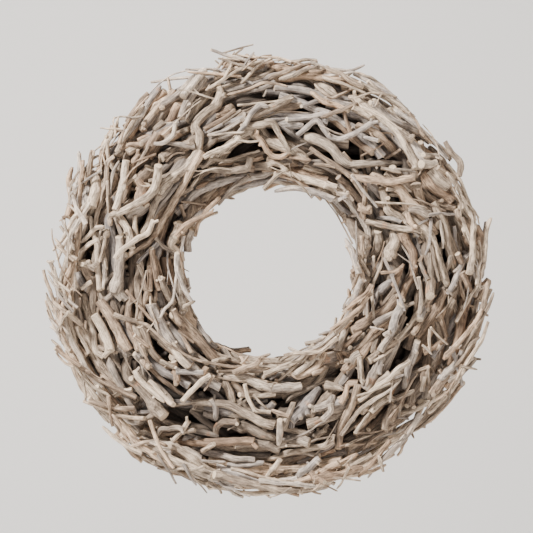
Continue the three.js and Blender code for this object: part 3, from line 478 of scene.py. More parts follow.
# Roots whose colour stands out: brightness, warmth and whitewash, then the roots.
markedTones = [
    ((0.9, 0.1, 1.0), [
        (-155, 64), (-133, 59), (-218, 34), (-192, 40), (-207, 63), (-153, 110), (-217, -19), (-189, -146),
        (-155, -112), (157, -101), (66, -105), (-30, -128), (-69, -117), (10, -214), (-94, -170), (63, 101),
    ]),
    ((-0.2, -1.0, 0.5), [(56, -213), (-147, -66), (-153, -150)]),
    ((-0.4, 1.0, 0.15), [(223, -31), (-122, -204), (173, 115), (204, 47), (-143, 99), (-121, 16)]),
]


def unit(v):
    return v / max(np.linalg.norm(v), 1e-12)


def mixed(a, b, share):
    return a + (b - a) * share


def polar(distance, angle, y):
    return np.array([distance * math.cos(angle), y, distance * math.sin(angle)])


def ovalDepth(distance):  # how far the roll's face stands before its middle
    across = min(abs(distance - roll["ringRadius"]) / roll["halfWidth"], 0.97)
    return roll["halfDepth"] * (1 - across ** roll["roundness"]) ** (1 / roll["roundness"])


def wayAt(points, k):
    return unit(points[min(k + 1, len(points) - 1)] - points[max(k - 1, 0)])


def middleOf(laid):
    trunk = laid["limbs"][0]["points"]
    return (trunk[0] + trunk[-1]) / 2


def newRoot(limbs, single=False, key=None):  # as a root is kept: its trunk first, then its forks
    return {"limbs": limbs, "single": single, "key": key, "filler": False}


def openBends(limb):  # leaves out bends so near each other that the limb would cross itself
    points, radii = limb["points"], limb["radii"]
    k = 0
    while k + 1 < len(points):
        step = points[k + 1] - points[k]
        here, beyond = wayAt(points, k), wayAt(points, k + 1)
        turn = math.acos(max(-1, min(1, here @ beyond)))
        share, least = laying["bendRoom"]
        room = share * max(radii[k], radii[k + 1]) * math.sin(turn) + least
        if len(points) == 2 or min(step @ here, step @ beyond) > room:
            k += 1
            continue
        gone = k + 1 if k + 2 < len(points) else k
        del points[gone], radii[gone]
        k = max(k - 1, 0)
    return limb


def tracedLimb(start, end, spots):
    points = [np.array([x, roll["middleY"] - ovalDepth(math.hypot(x, z)), z], float)
              for x, z in zip(spots[::2], spots[1::2])]
    shares = [k / (len(points) - 1) for k in range(len(points))]
    first, last = points[0][1], points[-1][1]
    for point, share in zip(points, shares):
        point[1] = mixed(mixed(first, last, share), point[1], laying["surfaceFollow"])
    radii = [mixed(start, end, share) / 2 for share in shares]
    return openBends({"points": points, "radii": radii, "place": None})


def forkPlace(trunk, point):  # the trunk's segment that a fork grows from, how far along it and where
    best = None
    for k in range(len(trunk["points"]) - 1):
        a, b = trunk["points"][k], trunk["points"][k + 1]
        share = max(0, min(1, (point - a) @ (b - a) / ((b - a) @ (b - a))))
        nearest = mixed(a, b, share)
        gap = np.linalg.norm(nearest - point)
        if best is None or gap < best[0]:
            best = (gap, k, share, nearest)
    return best[1:]


def tracedRoot(one):
    limbs = [tracedLimb(*limb) for limb in one.limbs]
    for limb in limbs[1:]:
        segment, share, nearest = forkPlace(limbs[0], limb["points"][0])
        shift = nearest - limb["points"][0]
        limb["points"] = [point + shift for point in limb["points"]]
        limb["place"] = (segment, share)
    return newRoot(limbs, one.single, one.key)


def squareToRoll(ringAngle, sectionAngle):  # the way into the roll
    across = math.cos(sectionAngle) / roll["halfWidth"]
    outward = math.sin(sectionAngle) / roll["halfDepth"]
    return unit(np.array([-across * math.cos(ringAngle), outward, -across * math.sin(ringAngle)]))


kinds = {
    # thickness, length, most lean, size of the thin end, share with a fork
    "under": ((14, 18), (130, 165), 16, (0.68, 0.9), 0),
    "over": ((8, 11), (95, 135), 26, (0.68, 0.9), 0.25),
    "filler": ((8.5, 13.5), (76, 140), 26, (0.65, 0.9), 0.45),
    "thinFiller": ((4.5, 10.5), (50, 116), 32, (0.65, 0.9), 0.45),
    "twig": ((1.6, 2.9), (24, 62), 60, (0.55, 0.8), 0.5),
}
ruled = {
    "bends": 4,
    "kink": 0.045,  # of the length
    "rise": 0.03,
    "lumps": (0.92, 1.1),
    "forkReach": (0.25, 0.4),  # of the length
    "forkTurn": (0.45, 0.8),
    "forkFoot": (0.1, 0.9),  # between the second bend and the third
    "forkSize": (0.36, 0.8),  # of the trunk's end, then of the fork's start
}


def ruledRoot(draws, kind, diameter, ringAngle, sectionAngle):
    # A root made by rule, about along the ring on the roll's oval, and the way into the roll from there.
    ringAngle, sectionAngle = math.radians(ringAngle), math.radians(sectionAngle)
    _, lengths, mostLean, taper, forks = kind
    length = draws.between(*lengths)
    lean = math.radians(draws.between(-mostLean, mostLean))
    last = diameter * draws.between(*taper)
    forked = draws.between(0, 1) < forks

    def at(along, aside):
        section = sectionAngle + aside / (0.5 * (roll["halfWidth"] + roll["halfDepth"]))
        distance = roll["ringRadius"] + roll["halfWidth"] * math.cos(section)
        depth = roll["middleY"] - roll["halfDepth"] * math.sin(section)
        return polar(distance, ringAngle + along / distance, depth)

    limb = {"points": [], "radii": [], "place": None}
    middle = at(0, 0)
    ahead = at(1, 0) - middle
    for k in range(ruled["bends"]):
        share = k / (ruled["bends"] - 1)
        along = length * (share - 0.5)
        kink = draws.between(-1, 1) * length * ruled["kink"]
        rise = draws.between(-1, 1) * length * ruled["rise"]
        point = at(along * math.cos(lean), along * math.sin(lean) + kink)
        point = mixed(point, middle + ahead * along, laying["straightShare"])
        limb["points"].append(point + np.array([0, rise, 0]))
        limb["radii"].append(mixed(diameter, last, share) / 2 * draws.between(*ruled["lumps"]))
    limbs = [openBends(limb)]
    if forked and len(limb["points"]) > 2:
        reach = length * draws.between(*ruled["forkReach"])
        side = -1 if draws.between(0, 1) < 0.5 else 1
        turn = lean + side * draws.between(*ruled["forkTurn"])
        grows = mixed(limb["points"][1], limb["points"][2], draws.between(*ruled["forkFoot"]))
        tip = grows + at(reach * math.cos(turn), reach * math.sin(turn)) - middle
        thick = last * ruled["forkSize"][0]
        segment, share, _ = forkPlace(limb, grows)
        limbs.append({"points": [grows.copy(), tip], "radii": [thick, thick * ruled["forkSize"][1]],
                      "place": (segment, share)})
    return newRoot(limbs), squareToRoll(ringAngle, sectionAngle)


def ballsAlong(limb):  # rows of x, y, z, radius, segment
    points, radii = limb["points"], limb["radii"]
    rows = []
    for k in range(len(points) - 1):
        steps = max(1, math.ceil(np.linalg.norm(points[k + 1] - points[k]) / laying["sampleStep"]))
        for step in range(1 if k else 0, steps + 1):
            share = step / steps
            rows.append([*mixed(points[k], points[k + 1], share), mixed(radii[k], radii[k + 1], share), k])
    rows = np.array(rows)
    room = laying["endShare"] * rows[:, 3]
    within = np.linalg.norm(rows[:, :3] - points[0], axis=1) > room
    within &= np.linalg.norm(rows[:, :3] - points[-1], axis=1) > room
    return rows[within] if within.any() else rows


def ballsOf(laid):
    return np.vstack([ballsAlong(limb)[:, :4] for limb in laid["limbs"]])


class Pile:  # what is laid already: balls, and the bunch that each belongs to
    def __init__(self, balls, bunch):
        self.balls, self.bunch = balls, bunch

    def add(self, balls, bunch):
        self.balls = np.vstack([self.balls, balls])
        self.bunch = np.concatenate([self.bunch, np.full(len(balls), bunch)])


def corePoint(bunch, along, section, size):
    share = 2 * math.pi / heart["bunches"]
    gap = laying["clearance"] / 2 / (roll["ringRadius"] - heart["halfWidth"])
    angle = bunch * share + gap + along * (share - 2 * gap)
    turned = section + bunch * heart["turn"] + heart["twist"] * along
    flat = heart["halfWidth"] - heart["halfDepth"]
    across = size * math.cos(turned) + flat * max(-1, min(1, 2 * math.cos(turned)))
    return polar(roll["ringRadius"] + across, angle, heart["middleY"] - size * math.sin(turned))


def heartPile():
    balls, owners = [], []
    size = heart["halfDepth"] + heart["crest"] - heart["ridgeRadius"] - heart["sink"]
    for bunch in range(heart["bunches"]):
        for ridge in range(heart["ridges"]):
            section = ridge / heart["ridges"] * 2 * math.pi
            for k in range(heart["balls"]):
                along = (k + 0.5) / heart["balls"]
                balls.append([*corePoint(bunch, along, section, size), heart["ridgeRadius"]])
                owners.append(bunch)
    return Pile(np.array(balls), np.array(owners))


def eachLimb(laid, change):
    for limb in laid["limbs"]:
        limb["points"] = [change(point, k, limb) for k, point in enumerate(limb["points"])]


def freeWay(centre, radius, way, others):  # how far each ball can go before it lies on the others
    if not len(others):
        return np.full(len(centre), np.inf)
    gap = others[None, :, :3] - centre[:, None, :]
    both = others[None, :, 3] + radius[:, None]
    thinner = np.minimum(others[None, :, 3], radius[:, None])
    bound = both - (laying["pressedShare"] * thinner + laying["pressedDepth"])
    deep = gap @ way
    missed = (gap * gap).sum(2) - deep * deep
    touching = missed < bound * bound
    return np.where(touching, deep - np.sqrt(np.maximum(bound * bound - missed, 0)), np.inf).min(1)


def press(laid, way, mostTravel, pile):  # moves a root until it lies on the pile
    trunk = laid["limbs"][0]["points"]
    along = unit(trunk[-1] - trunk[0])
    away = way * laying["startAway"]
    middle = middleOf(laid) - away
    eachLimb(laid, lambda point, k, limb: point - away)
    balls = [ballsAlong(limb) for limb in laid["limbs"]]
    owner = np.concatenate([np.full(len(rows), index) for index, rows in enumerate(balls)])
    balls = np.vstack(balls)
    centre, radius = balls[:, :3], balls[:, 3]
    reach = np.linalg.norm(centre - middle, axis=1).max() + heart["halfDepth"] + laying["margin"]
    off = pile.balls[:, :3] - middle
    close = pile.balls[(off * off).sum(1) - (off @ way) ** 2 < reach * reach]
    best = None
    for tilt in laying["tilts"]:
        lifted = centre + np.outer(tilt * ((centre - middle) @ along), way)
        stops = freeWay(lifted, radius, way, close)
        if best is None or stops.min() > best[0]:
            best = (stops.min(), tilt, stops)
    travel, tilt, stops = best
    if not travel < mostTravel:
        eachLimb(laid, lambda point, k, limb: point + away)
        return False
    eachLimb(laid, lambda point, k, limb: point + way * (tilt * ((point - middle) @ along) + travel))
    spare = [laying["mostSag"]] * len(trunk)  # each bend gives way towards what lies below it
    for index, segment, stop in zip(owner, balls[:, 4].astype(int), stops):
        place = segment if index == 0 else laid["limbs"][index]["place"][0]
        for end in (place, place + 1):
            spare[end] = min(spare[end], stop - travel)

    def given(point, k, limb):
        if not limb["place"]:
            return point + way * laying["sagShare"] * spare[k]
        segment, share = limb["place"]
        return point + way * laying["sagShare"] * mixed(spare[segment], spare[segment + 1], share)

    eachLimb(laid, given)
    return True


def middleAngle(bunch):
    return (bunch + 0.5) / heart["bunches"] * 2 * math.pi


def farRound(laid, bunch):
    middle = middleOf(laid)
    away = math.atan2(middle[2], middle[0]) - middleAngle(bunch)
    return abs(math.atan2(math.sin(away), math.cos(away)))


def onItsSide(balls, bunch):
    angle = middleAngle(bunch)
    side = balls[:, 0] * math.cos(angle) + balls[:, 2] * math.sin(angle) - balls[:, 3]
    return side.min() > laying["holeLine"]


def sectorOf(point):
    turn = math.atan2(point[2], point[0]) / (2 * math.pi) % 1
    return int(turn * heart["bunches"])


laidRoots = []


def keep(laid, pile, strict=True):  # strict: only where a bunch holds it firmly
    def offWall(point, k, limb):
        nearest = -laying["wallGap"] - laying["wallShare"] * limb["radii"][k]
        return np.array([point[0], min(point[1], nearest), point[2]])

    eachLimb(laid, offWall)
    balls = ballsOf(laid)
    laid["bunch"] = -1 if laid["single"] else sectorOf(middleOf(laid))
    if strict and not laid["single"]:
        gap = np.linalg.norm(pile.balls[None, :, :3] - balls[:, None, :3], axis=2)
        held = (gap < pile.balls[None, :, 3] + balls[:, None, 3] - laying["firmDepth"]).any(0)
        touched = [b for b in dict.fromkeys(pile.bunch[held].tolist()) if b >= 0 and onItsSide(balls, b)]
        if not touched:
            return False
        laid["bunch"] = min(touched, key=lambda b: farRound(laid, b))
    pile.add(balls, laid["bunch"])
    laidRoots.append(laid)
    return True


def roomInwards(laid):  # from a traced root to the roll's middle
    return roll["middleY"] - laying["beforeMiddle"] - max(point[1] for point in laid["limbs"][0]["points"])


def towardsRing(laid):  # level, from a root's middle to the circle that the roll runs along
    middle = middleOf(laid)
    outside = math.hypot(middle[0], middle[2]) > roll["ringRadius"]
    return unit(np.array([middle[0], 0, middle[2]])) * (-1 if outside else 1)


def layTraced(one, pile):
    laid = tracedRoot(one)
    room, aside = roomInwards(laid), towardsRing(laid)
    if not press(laid, toWall, laying["startAway"] + max(room, laying["leastTravel"]), pile):
        eachLimb(laid, lambda point, k, limb: point + toWall * max(room, 0))
        if not press(laid, aside, laying["startAway"] + laying["sideTravel"], pile):
            return False
    return keep(laid, pile)


def staysOn(balls, hole=roll["hole"], rim=roll["rim"]):
    distance = np.hypot(balls[:, 0], balls[:, 2])
    clear = (distance - balls[:, 3]).min() > hole and (distance + balls[:, 3]).max() < rim
    return clear and (balls[:, 1] - balls[:, 3]).min() > roll["face"]


def layRows(rows, kind, draws, pile):  # each row has its angle on the oval and its number of roots
    around, aside = laying["rowSpread"]
    for row, (sectionAngle, count) in enumerate(rows):
        startAngle = (row * laying["rowShift"]) % 1 * 360 / count
        for k in range(count):
            for attempt in range(laying["mostAttempts"]):
                diameter = draws.between(*kind[0])
                ringAngle = startAngle + (k + draws.between(-around, around)) * 360 / count
                section = sectionAngle + draws.between(-aside, aside)
                laid, way = ruledRoot(draws, kind, diameter, ringAngle, section)
                lies = press(laid, way, laying["startAway"] + laying["rowTravel"], pile)
                if lies and staysOn(ballsOf(laid)) and keep(laid, pile):
                    break


underRows = [(-69, 7), (-106, 6), (-142, 4), (-38, 7), (-8, 8), (22, 7), (54, 5), (92, 5), (132, 4),
             (170, 5), (206, 4)]
overRows = [(-30, 4), (6, 5), (186, 3)]
draws = Draws(5)
pile = heartPile()
layRows(underRows, kinds["under"], draws, pile)
layRows(overRows, kinds["over"], draws, pile)
traced = [one if isinstance(one, Root) else Root(one[0], *one)
          for one in topRoots + rightRoots + bottomRoots + leftRoots]
solid = [one for one in traced if one.single or one.thickness() >= laying["thinnest"]]
for one in sorted(solid, key=lambda one: one.single):  # those of the bunches first
    layTraced(one, pile)
print("laid as in the solids:", len(laidRoots))

# Roots that only the looks need: fillers in the open gaps, the thinner traced ones, twigs and the rim's ends.
extra = {
    # tries, kind, how far under the roll's oval at least and at most
    "underFill": (440, kinds["filler"], 8, 44),
    "gapFill": (480, kinds["thinFiller"], 7, 36),
    "fillSections": (-115, 285),
    "tuckReach": 95,  # what is farther away doesn't cover a filler
    "crossShare": 0.86,  # of both radii: nearer than that, two roots cross
    "touchShare": 0.9,
    "coveredFrom": 24,  # a traced root that lies deeper than this may be covered
    "coveredLater": 4,  # and any other one that lies so much deeper than a filler's least depth
    # The steel as balls: every so many mm with so much air, then the straps' radius, aside and distances.
    "steelBalls": (6, 0.4, 4, 5, (144, 202, 5)),
    "nudge": 24,  # how far a traced root may be moved towards the roll to find its hold
    # tries, thickness, length, how far the tip is from the middle, how much nearer the foot is, angles
    "edges": [
        (90, (5.5, 11), (54, 104), (240, 256), (4, 14), (190, 335)),
        (76, (3, 7), (36, 76), (240, 255), (12, 34), (75, 345)),
        (24, (4, 8.5), (42, 84), (236, 247), (5, 14), (-15, 80)),
        (50, (2.2, 4.5), (20, 46), (243, 257), (10, 30), (80, 200)),
        (36, (3.5, 8), (36, 76), (249, 263), (8, 24), (200, 330)),
        (80, (2.4, 5), (18, 38), (250, 265), (7, 22), (195, 335)),
        (40, (3.5, 8), (36, 76), (94, 101), (-24, -6), (0, 360)),
        (30, (4, 8), (34, 70), (93, 99), (-20, -5), (295, 360)),
    ],
    "edgeBends": (0, 0.35, 0.7, 1),
    "edgeBow": 2.2,
    "edgeTaper": 0.7,
    "edgeDepths": (-92, -20),
    "edgeSides": {"front": 0.4, "back": 0.25, "side": 0.35},  # from where it is laid on the roll
    "edgeRoom": (90, 266),  # nothing comes nearer to the wreath's middle or goes farther out
    "edgeSweep": (4, 0.3),  # the least way along the ring, and the share of it where the side is taken
    "edgeTravel": 50,
    "thinTwigs": (130, 0.6, (-60, 70), (70, 200)),  # tries, share in the first range of sections
    "twigTaper": (0.75, 0.95),  # of a twig of the photograph, with three bends or more and with two
}


def layShown(one, pile):  # lays a root where it shows, or else a little nearer to the roll's middle
    for nudge in range(0, extra["nudge"], 2):
        laid = tracedRoot(one)
        shift = towardsRing(laid) * nudge
        eachLimb(laid, lambda point, k, limb: point + shift)
        travel = laying["startAway"] + max(roomInwards(laid), laying["leastTravel"])
        if press(laid, toWall, travel, pile):
            return keep(laid, pile, strict=False)
    return False


def frameBalls():  # the steel that no root runs through
    every, air, strapRadius, width, distances = extra["steelBalls"]
    rows = [[*polar(hoop, k * every / hoop, ringFrame["rodMiddleY"]), ringFrame["rodRadius"] + air]
            for hoop in ringFrame["hoops"] for k in range(int(hoop * fullTurn / every))]
    for k in range(ringFrame["straps"]):
        angle = k * math.pi / 3
        aside = polar(width, angle + math.pi / 2, 0)
        rows += [[*polar(distance, angle, -ringFrame["strapSize"][1] / 2) + side * aside, strapRadius]
                 for distance in range(*distances) for side in (-1, 0, 1)]
    return np.array(rows)


def tuck(laid, way, shown, always, least, most):
    # Slides a root in behind what shows, and tells if it still lies shallow. The first shown balls always
    # count, and the others only where they lie near the oval themselves.
    balls = [ballsAlong(limb) for limb in laid["limbs"]]
    off = shown[:, :3] - balls[0][:, :3].mean(0)
    close = (off * off).sum(1) < extra["tuckReach"] ** 2
    deepest = np.where(np.arange(len(shown)) < always, extra["coveredFrom"], least + extra["coveredLater"])
    deepest, close = deepest[close], shown[close]
    shifts = []
    for rows in balls:
        gap = close[None, :, :3] - rows[:, None, :3]
        deep = gap @ way
        missed = (gap * gap).sum(2) - deep * deep
        both = close[None, :, 3] + rows[:, None, 3]
        crossed = (missed < (extra["crossShare"] * both) ** 2) & (deep < deepest)
        behind = deep + np.sqrt(np.maximum((extra["touchShare"] * both) ** 2 - missed, 0))
        need = np.where(crossed, behind, least)
        shifts.append(np.clip(need, least, None).max(1) if len(close) else np.full(len(rows), least))
    for limb, rows, shift in zip(laid["limbs"], balls, shifts):
        segment = rows[:, 4].astype(int)
        for k in range(len(limb["points"])):
            beside = shift[(segment == k) | (segment == k - 1)]
            limb["points"][k] = limb["points"][k] + way * (beside.max() if len(beside) else least)
    return max(shift.max() for shift in shifts) < most


def fillGaps(fill, draws):  # packs roots in behind those that show
    tries, kind, least, most = fill
    always = [frameBalls()] + [ballsOf(laid) for laid in laidRoots if laid["key"]]
    others = [ballsOf(laid) for laid in laidRoots if not laid["key"]]
    shown = np.vstack([*always, *others])
    count = sum(len(balls) for balls in always)
    filled = Pile(np.zeros((0, 4)), np.zeros(0))
    for k in range(tries):
        diameter, ringAngle = draws.between(*kind[0]), draws.between(0, 360)
        laid, way = ruledRoot(draws, kind, diameter, ringAngle, draws.between(*extra["fillSections"]))
        if not tuck(laid, way, shown, count, least, most) or not staysOn(ballsOf(laid)):
            continue
        laid["filler"] = True
        keep(laid, filled, strict=False)
        shown = np.vstack([shown, ballsOf(laid)])
    return filled.balls


def layLoose(laid, way, base):  # lays a root that may stand out past the roll, if it finds its hold
    held = press(laid, way, laying["startAway"] + extra["edgeTravel"], base)
    if held and staysOn(ballsOf(laid), *extra["edgeRoom"]):
        keep(laid, base, strict=False)


def layEdge(edge, draws, base):  # roots whose tips stand out past the rim or into the hole
    tries, thickness, lengths, reach, rise, angles = edge
    leastSweep, sideShare = extra["edgeSweep"]
    for k in range(tries):
        diameter = draws.between(*thickness)
        angle = math.radians(draws.between(*angles))
        tip = draws.between(*reach)
        foot = tip - draws.between(*rise)
        length = draws.between(*lengths)
        side = 1 if draws.between(0, 1) < 0.5 else -1
        sweep = side * math.sqrt(max(length ** 2 - (tip - foot) ** 2, leastSweep ** 2)) / foot
        y = draws.between(*extra["edgeDepths"])
        limb = {"points": [], "radii": [], "place": None}
        for share in extra["edgeBends"]:
            bow = draws.between(-1, 1) * extra["edgeBow"]
            limb["points"].append(polar(mixed(foot, tip, share) + bow, angle + sweep * share, y + bow))
            limb["radii"].append(diameter / 2 * mixed(1, extra["edgeTaper"], share))
        inwards = -1 if tip > roll["ringRadius"] else 1
        ways = {"front": toWall, "back": -toWall, "side": polar(inwards, angle + sweep * sideShare, 0)}
        layLoose(newRoot([limb]), ways[draws.pick(extra["edgeSides"])], base)


def layThinTwigs(twigs, draws, base):
    tries, firstShare, first, second = twigs
    for k in range(tries):
        diameter = draws.between(*kinds["twig"][0])
        section = draws.between(*(first if draws.between(0, 1) < firstShare else second))
        layLoose(*ruledRoot(draws, kinds["twig"], diameter, draws.between(0, 360), section), base)


def layExtras(s, draws):
    filled = fillGaps(s["underFill"], draws)
    print("with the fillers:", len(laidRoots))
    base = heartPile()
    base.add(filled, 0)
    for laid in laidRoots:
        if not laid["single"] and not laid["filler"]:
            base.add(ballsOf(laid), 0)
    done = {laid["key"] for laid in laidRoots}
    rest = [one for one in traced if one.key not in done]
    lost = [one for one in sorted(rest, key=lambda one: -one.thickness()) if not layShown(one, base)]
    for laid in laidRoots:
        if laid["single"]:
            base.add(ballsOf(laid), 0)
    for diameter, *spots in twigs:
        twig = Root(diameter, diameter * s["twigTaper"][0 if len(spots) > 4 else 1], *spots)
        if not layShown(twig, base):
            lost.append(twig)
    print("with the thin roots and twigs:", len(laidRoots), "not held:", len(lost))
    for edge in s["edges"]:
        layEdge(edge, draws, base)
    print("with the rim's and the hole's ends:", len(laidRoots))
    base.add(fillGaps(s["gapFill"], draws), 0)
    print("with the gaps filled:", len(laidRoots))
    layThinTwigs(s["thinTwigs"], draws, base)
    print("with the loose twigs:", len(laidRoots))


layExtras(extra, Draws(911))

# How a root is turned into a tube with bark, knots and cut ends.
growth = {
    "step": 3.1,  # between rings, mm
    "fillerStep": 5.6,
    "fillerSides": 9,
    "sides": ((9, 13), (5.5, 11), (3.2, 8), (0, 6)),  # from this diameter, so many sides
    "straightened": 0.35,  # from the smooth curve back towards the straight line
    "nodeStart": (-10, 0),
    "nodeEvery": (13, 32),
    "nodeThin": (0.55, 20),  # nearer on a thin root: this share, and 1 more for so many mm of diameter
    "kink": 1.25,  # sideways at a node, mm
    "kinkFull": 7,  # from this diameter
    "fade": (8, 0.3),  # a kink grows from this share at the ends over so many mm
    "nodeSwell": 0.09,  # share of the radius, as the other swells
    "nodeSizes": (0.2, 1.5),
    "bendSwell": 0.09,
    "forkSwell": 0.2,
    "swellWidths": (0.6, 0.4, 0.75),  # at bends, nodes and forks, in diameters
    "lump": 0.05,
    "lumpShare": 0.7,
    "lumpSizes": (0.4, 1),
    "lumpWaves": (14, 44),
    "knotEvery": 44,
    "knotAlong": (0.08, 0.92),
    "knotHeight": (0.12, 0.32),
    "knotWidth": (0.28, 0.5),  # in diameters
    "chamfer": 0.13,  # share of the radius
    "lip": (0.55, 0.8),  # share of the chamfer, and the most in mm
    "cutSlope": 0.32,
    "brokenSlope": 0.1,
    "shownSlope": (0.15, 0.5),  # a bright cut leans so much towards the front
    "brokenLength": 1.1,  # in diameters
    "brokenTip": (0.55, 0.45),  # of the radius at the very end, and what it wins from there
    "endLift": 3,  # of a bright end towards the front, mm
    "liftSizes": (0.4, 1),
    "liftLength": 15,
    "liftCurve": 1.6,
    "grainStart": (0, 4000),  # each root has its own piece of the grain's pattern
    "cutReach": 7,  # from a bright cut's place in the photograph to the end that it is on
    "cutBright": {"bright": 1.0, "worn": 0.45, "broken": 0.15, "hidden": 0},
    "thickEnds": {"bright": 0.15, "worn": 0.63, "broken": 0.22},
    "thinEnds": {"bright": 0.14, "worn": 0.43, "broken": 0.43},
    "thin": 5.5,  # a thinner root has no trimmed shoots
    "thinFork": 5.4,
    "forkFoot": 1.3,  # of the radius
    "fillerSpreadAndShade": (0.7, -0.55),  # fillers vary less, and are darker: painted shade for roots tucked into the gaps
}
# What is left of trimmed side shoots: along a root, and as a knuckle at an end.
stubs = {
    "chance": 0.42,
    "fillerShare": 0.5,
    "twoFrom": 45,  # a longer root may have two
    "along": (0.12, 0.88),
    "slant": (-0.9, 0.9),
    "forwards": 0.12,
    "thickness": (0.34, 0.58),  # of the radius
    "thickest": 3.6,
    "reach": (1.5, 6),  # out of the bark
    "ends": {"bright": 0.22, "worn": 0.78},
}
knuckles = {
    "chance": 0.4,
    "singleShare": 0.6,
    "back": (1, 6),  # from the end
    "slant": (0.4, 1.3),
    "forwards": 0.15,
    "thickness": (0.4, 0.66),
    "thickest": 4,
    "reach": (2, 7),
    "ends": {"bright": 0.36, "worn": 0.64},
}
shoot = {
    "widening": (1.4, 1.12, 1),  # at its foot, on the way and at its tip
    "bend": 0.6,
    "step": 2.4,
    "sides": 8,
    "room": 4,  # from the wall, and how far past the roll's face it may come
}
tubeStock = {}


def flatCap(bm, end, corners):  # the face with so many corners that closes a straight tube's end
    flat = (f for f in bm.faces if all(abs(v.co.z - end) < 1e-5 for v in f.verts))
    return next(f for f in flat if len(f.verts) == corners)


def stockTube(sides, rings):  # a straight tube of the wanted number of rings, with a lip round each cut end
    if (sides, rings) in tubeStock:
        return tubeStock[sides, rings]
    bm = bmesh.new()
    bmesh.ops.create_cone(bm, cap_ends=True, cap_tris=False, segments=sides, radius1=1, radius2=1, depth=1)
    upright = [e for e in bm.edges if abs(e.verts[0].co.z - e.verts[1].co.z) > 0.5]
    bmesh.ops.subdivide_edges(bm, edges=upright, cuts=rings - 2)
    for end in (-0.5, 0.5):
        cap = flatCap(bm, end, sides)
        bmesh.ops.inset_region(bm, faces=[cap], thickness=growth["chamfer"], use_even_offset=True)
        bmesh.ops.poke(bm, faces=[flatCap(bm, end, sides)])
    mesh = bpy.data.meshes.new("tube_%d_%d" % (sides, rings))
    bm.to_mesh(mesh)
    bm.free()
    for name in ("grain", "tone", "cut", "sunk"):
        mesh.attributes.new(name, "FLOAT_VECTOR" if name in ("grain", "tone") else "FLOAT", "POINT")
    co = np.zeros(len(mesh.vertices) * 3)
    mesh.vertices.foreach_get("co", co)
    x, y, z = co.reshape(-1, 3).T
    ring = np.rint((z + 0.5) * (rings - 1)).astype(int)
    tubeStock[sides, rings] = (mesh, ring, np.hypot(x, y), np.arctan2(y, x))
    return tubeStock[sides, rings]


def smoothLine(points, radii, step):  # one smooth curve through the bends, in even steps
    points = np.array(points)
    gaps = np.linalg.norm(np.diff(points, axis=0), axis=1)
    at = np.concatenate([[0], np.cumsum(np.maximum(gaps, 1e-6))])
    if len(points) > 2:
        slope = np.gradient(points, at, axis=0)
    else:
        slope = np.repeat((points[1:] - points[:1]) / at[-1], 2, 0)
    rings = max(4, int(round(at[-1] / step)) + 1)
    t = np.linspace(0, at[-1], rings)
    k = np.clip(np.searchsorted(at, t, side="right") - 1, 0, len(at) - 2)
    length = at[k + 1] - at[k]
    u = ((t - at[k]) / length)[:, None]
    line = ((2 * u ** 3 - 3 * u ** 2 + 1) * points[k] + (u ** 3 - 2 * u ** 2 + u) * length[:, None] * slope[k]
            + (3 * u ** 2 - 2 * u ** 3) * points[k + 1] + (u ** 3 - u ** 2) * length[:, None] * slope[k + 1])
    straight = mixed(points[k], points[k + 1], u)
    return mixed(line, straight, growth["straightened"]), np.interp(t, at, np.array(radii, float)), t, at


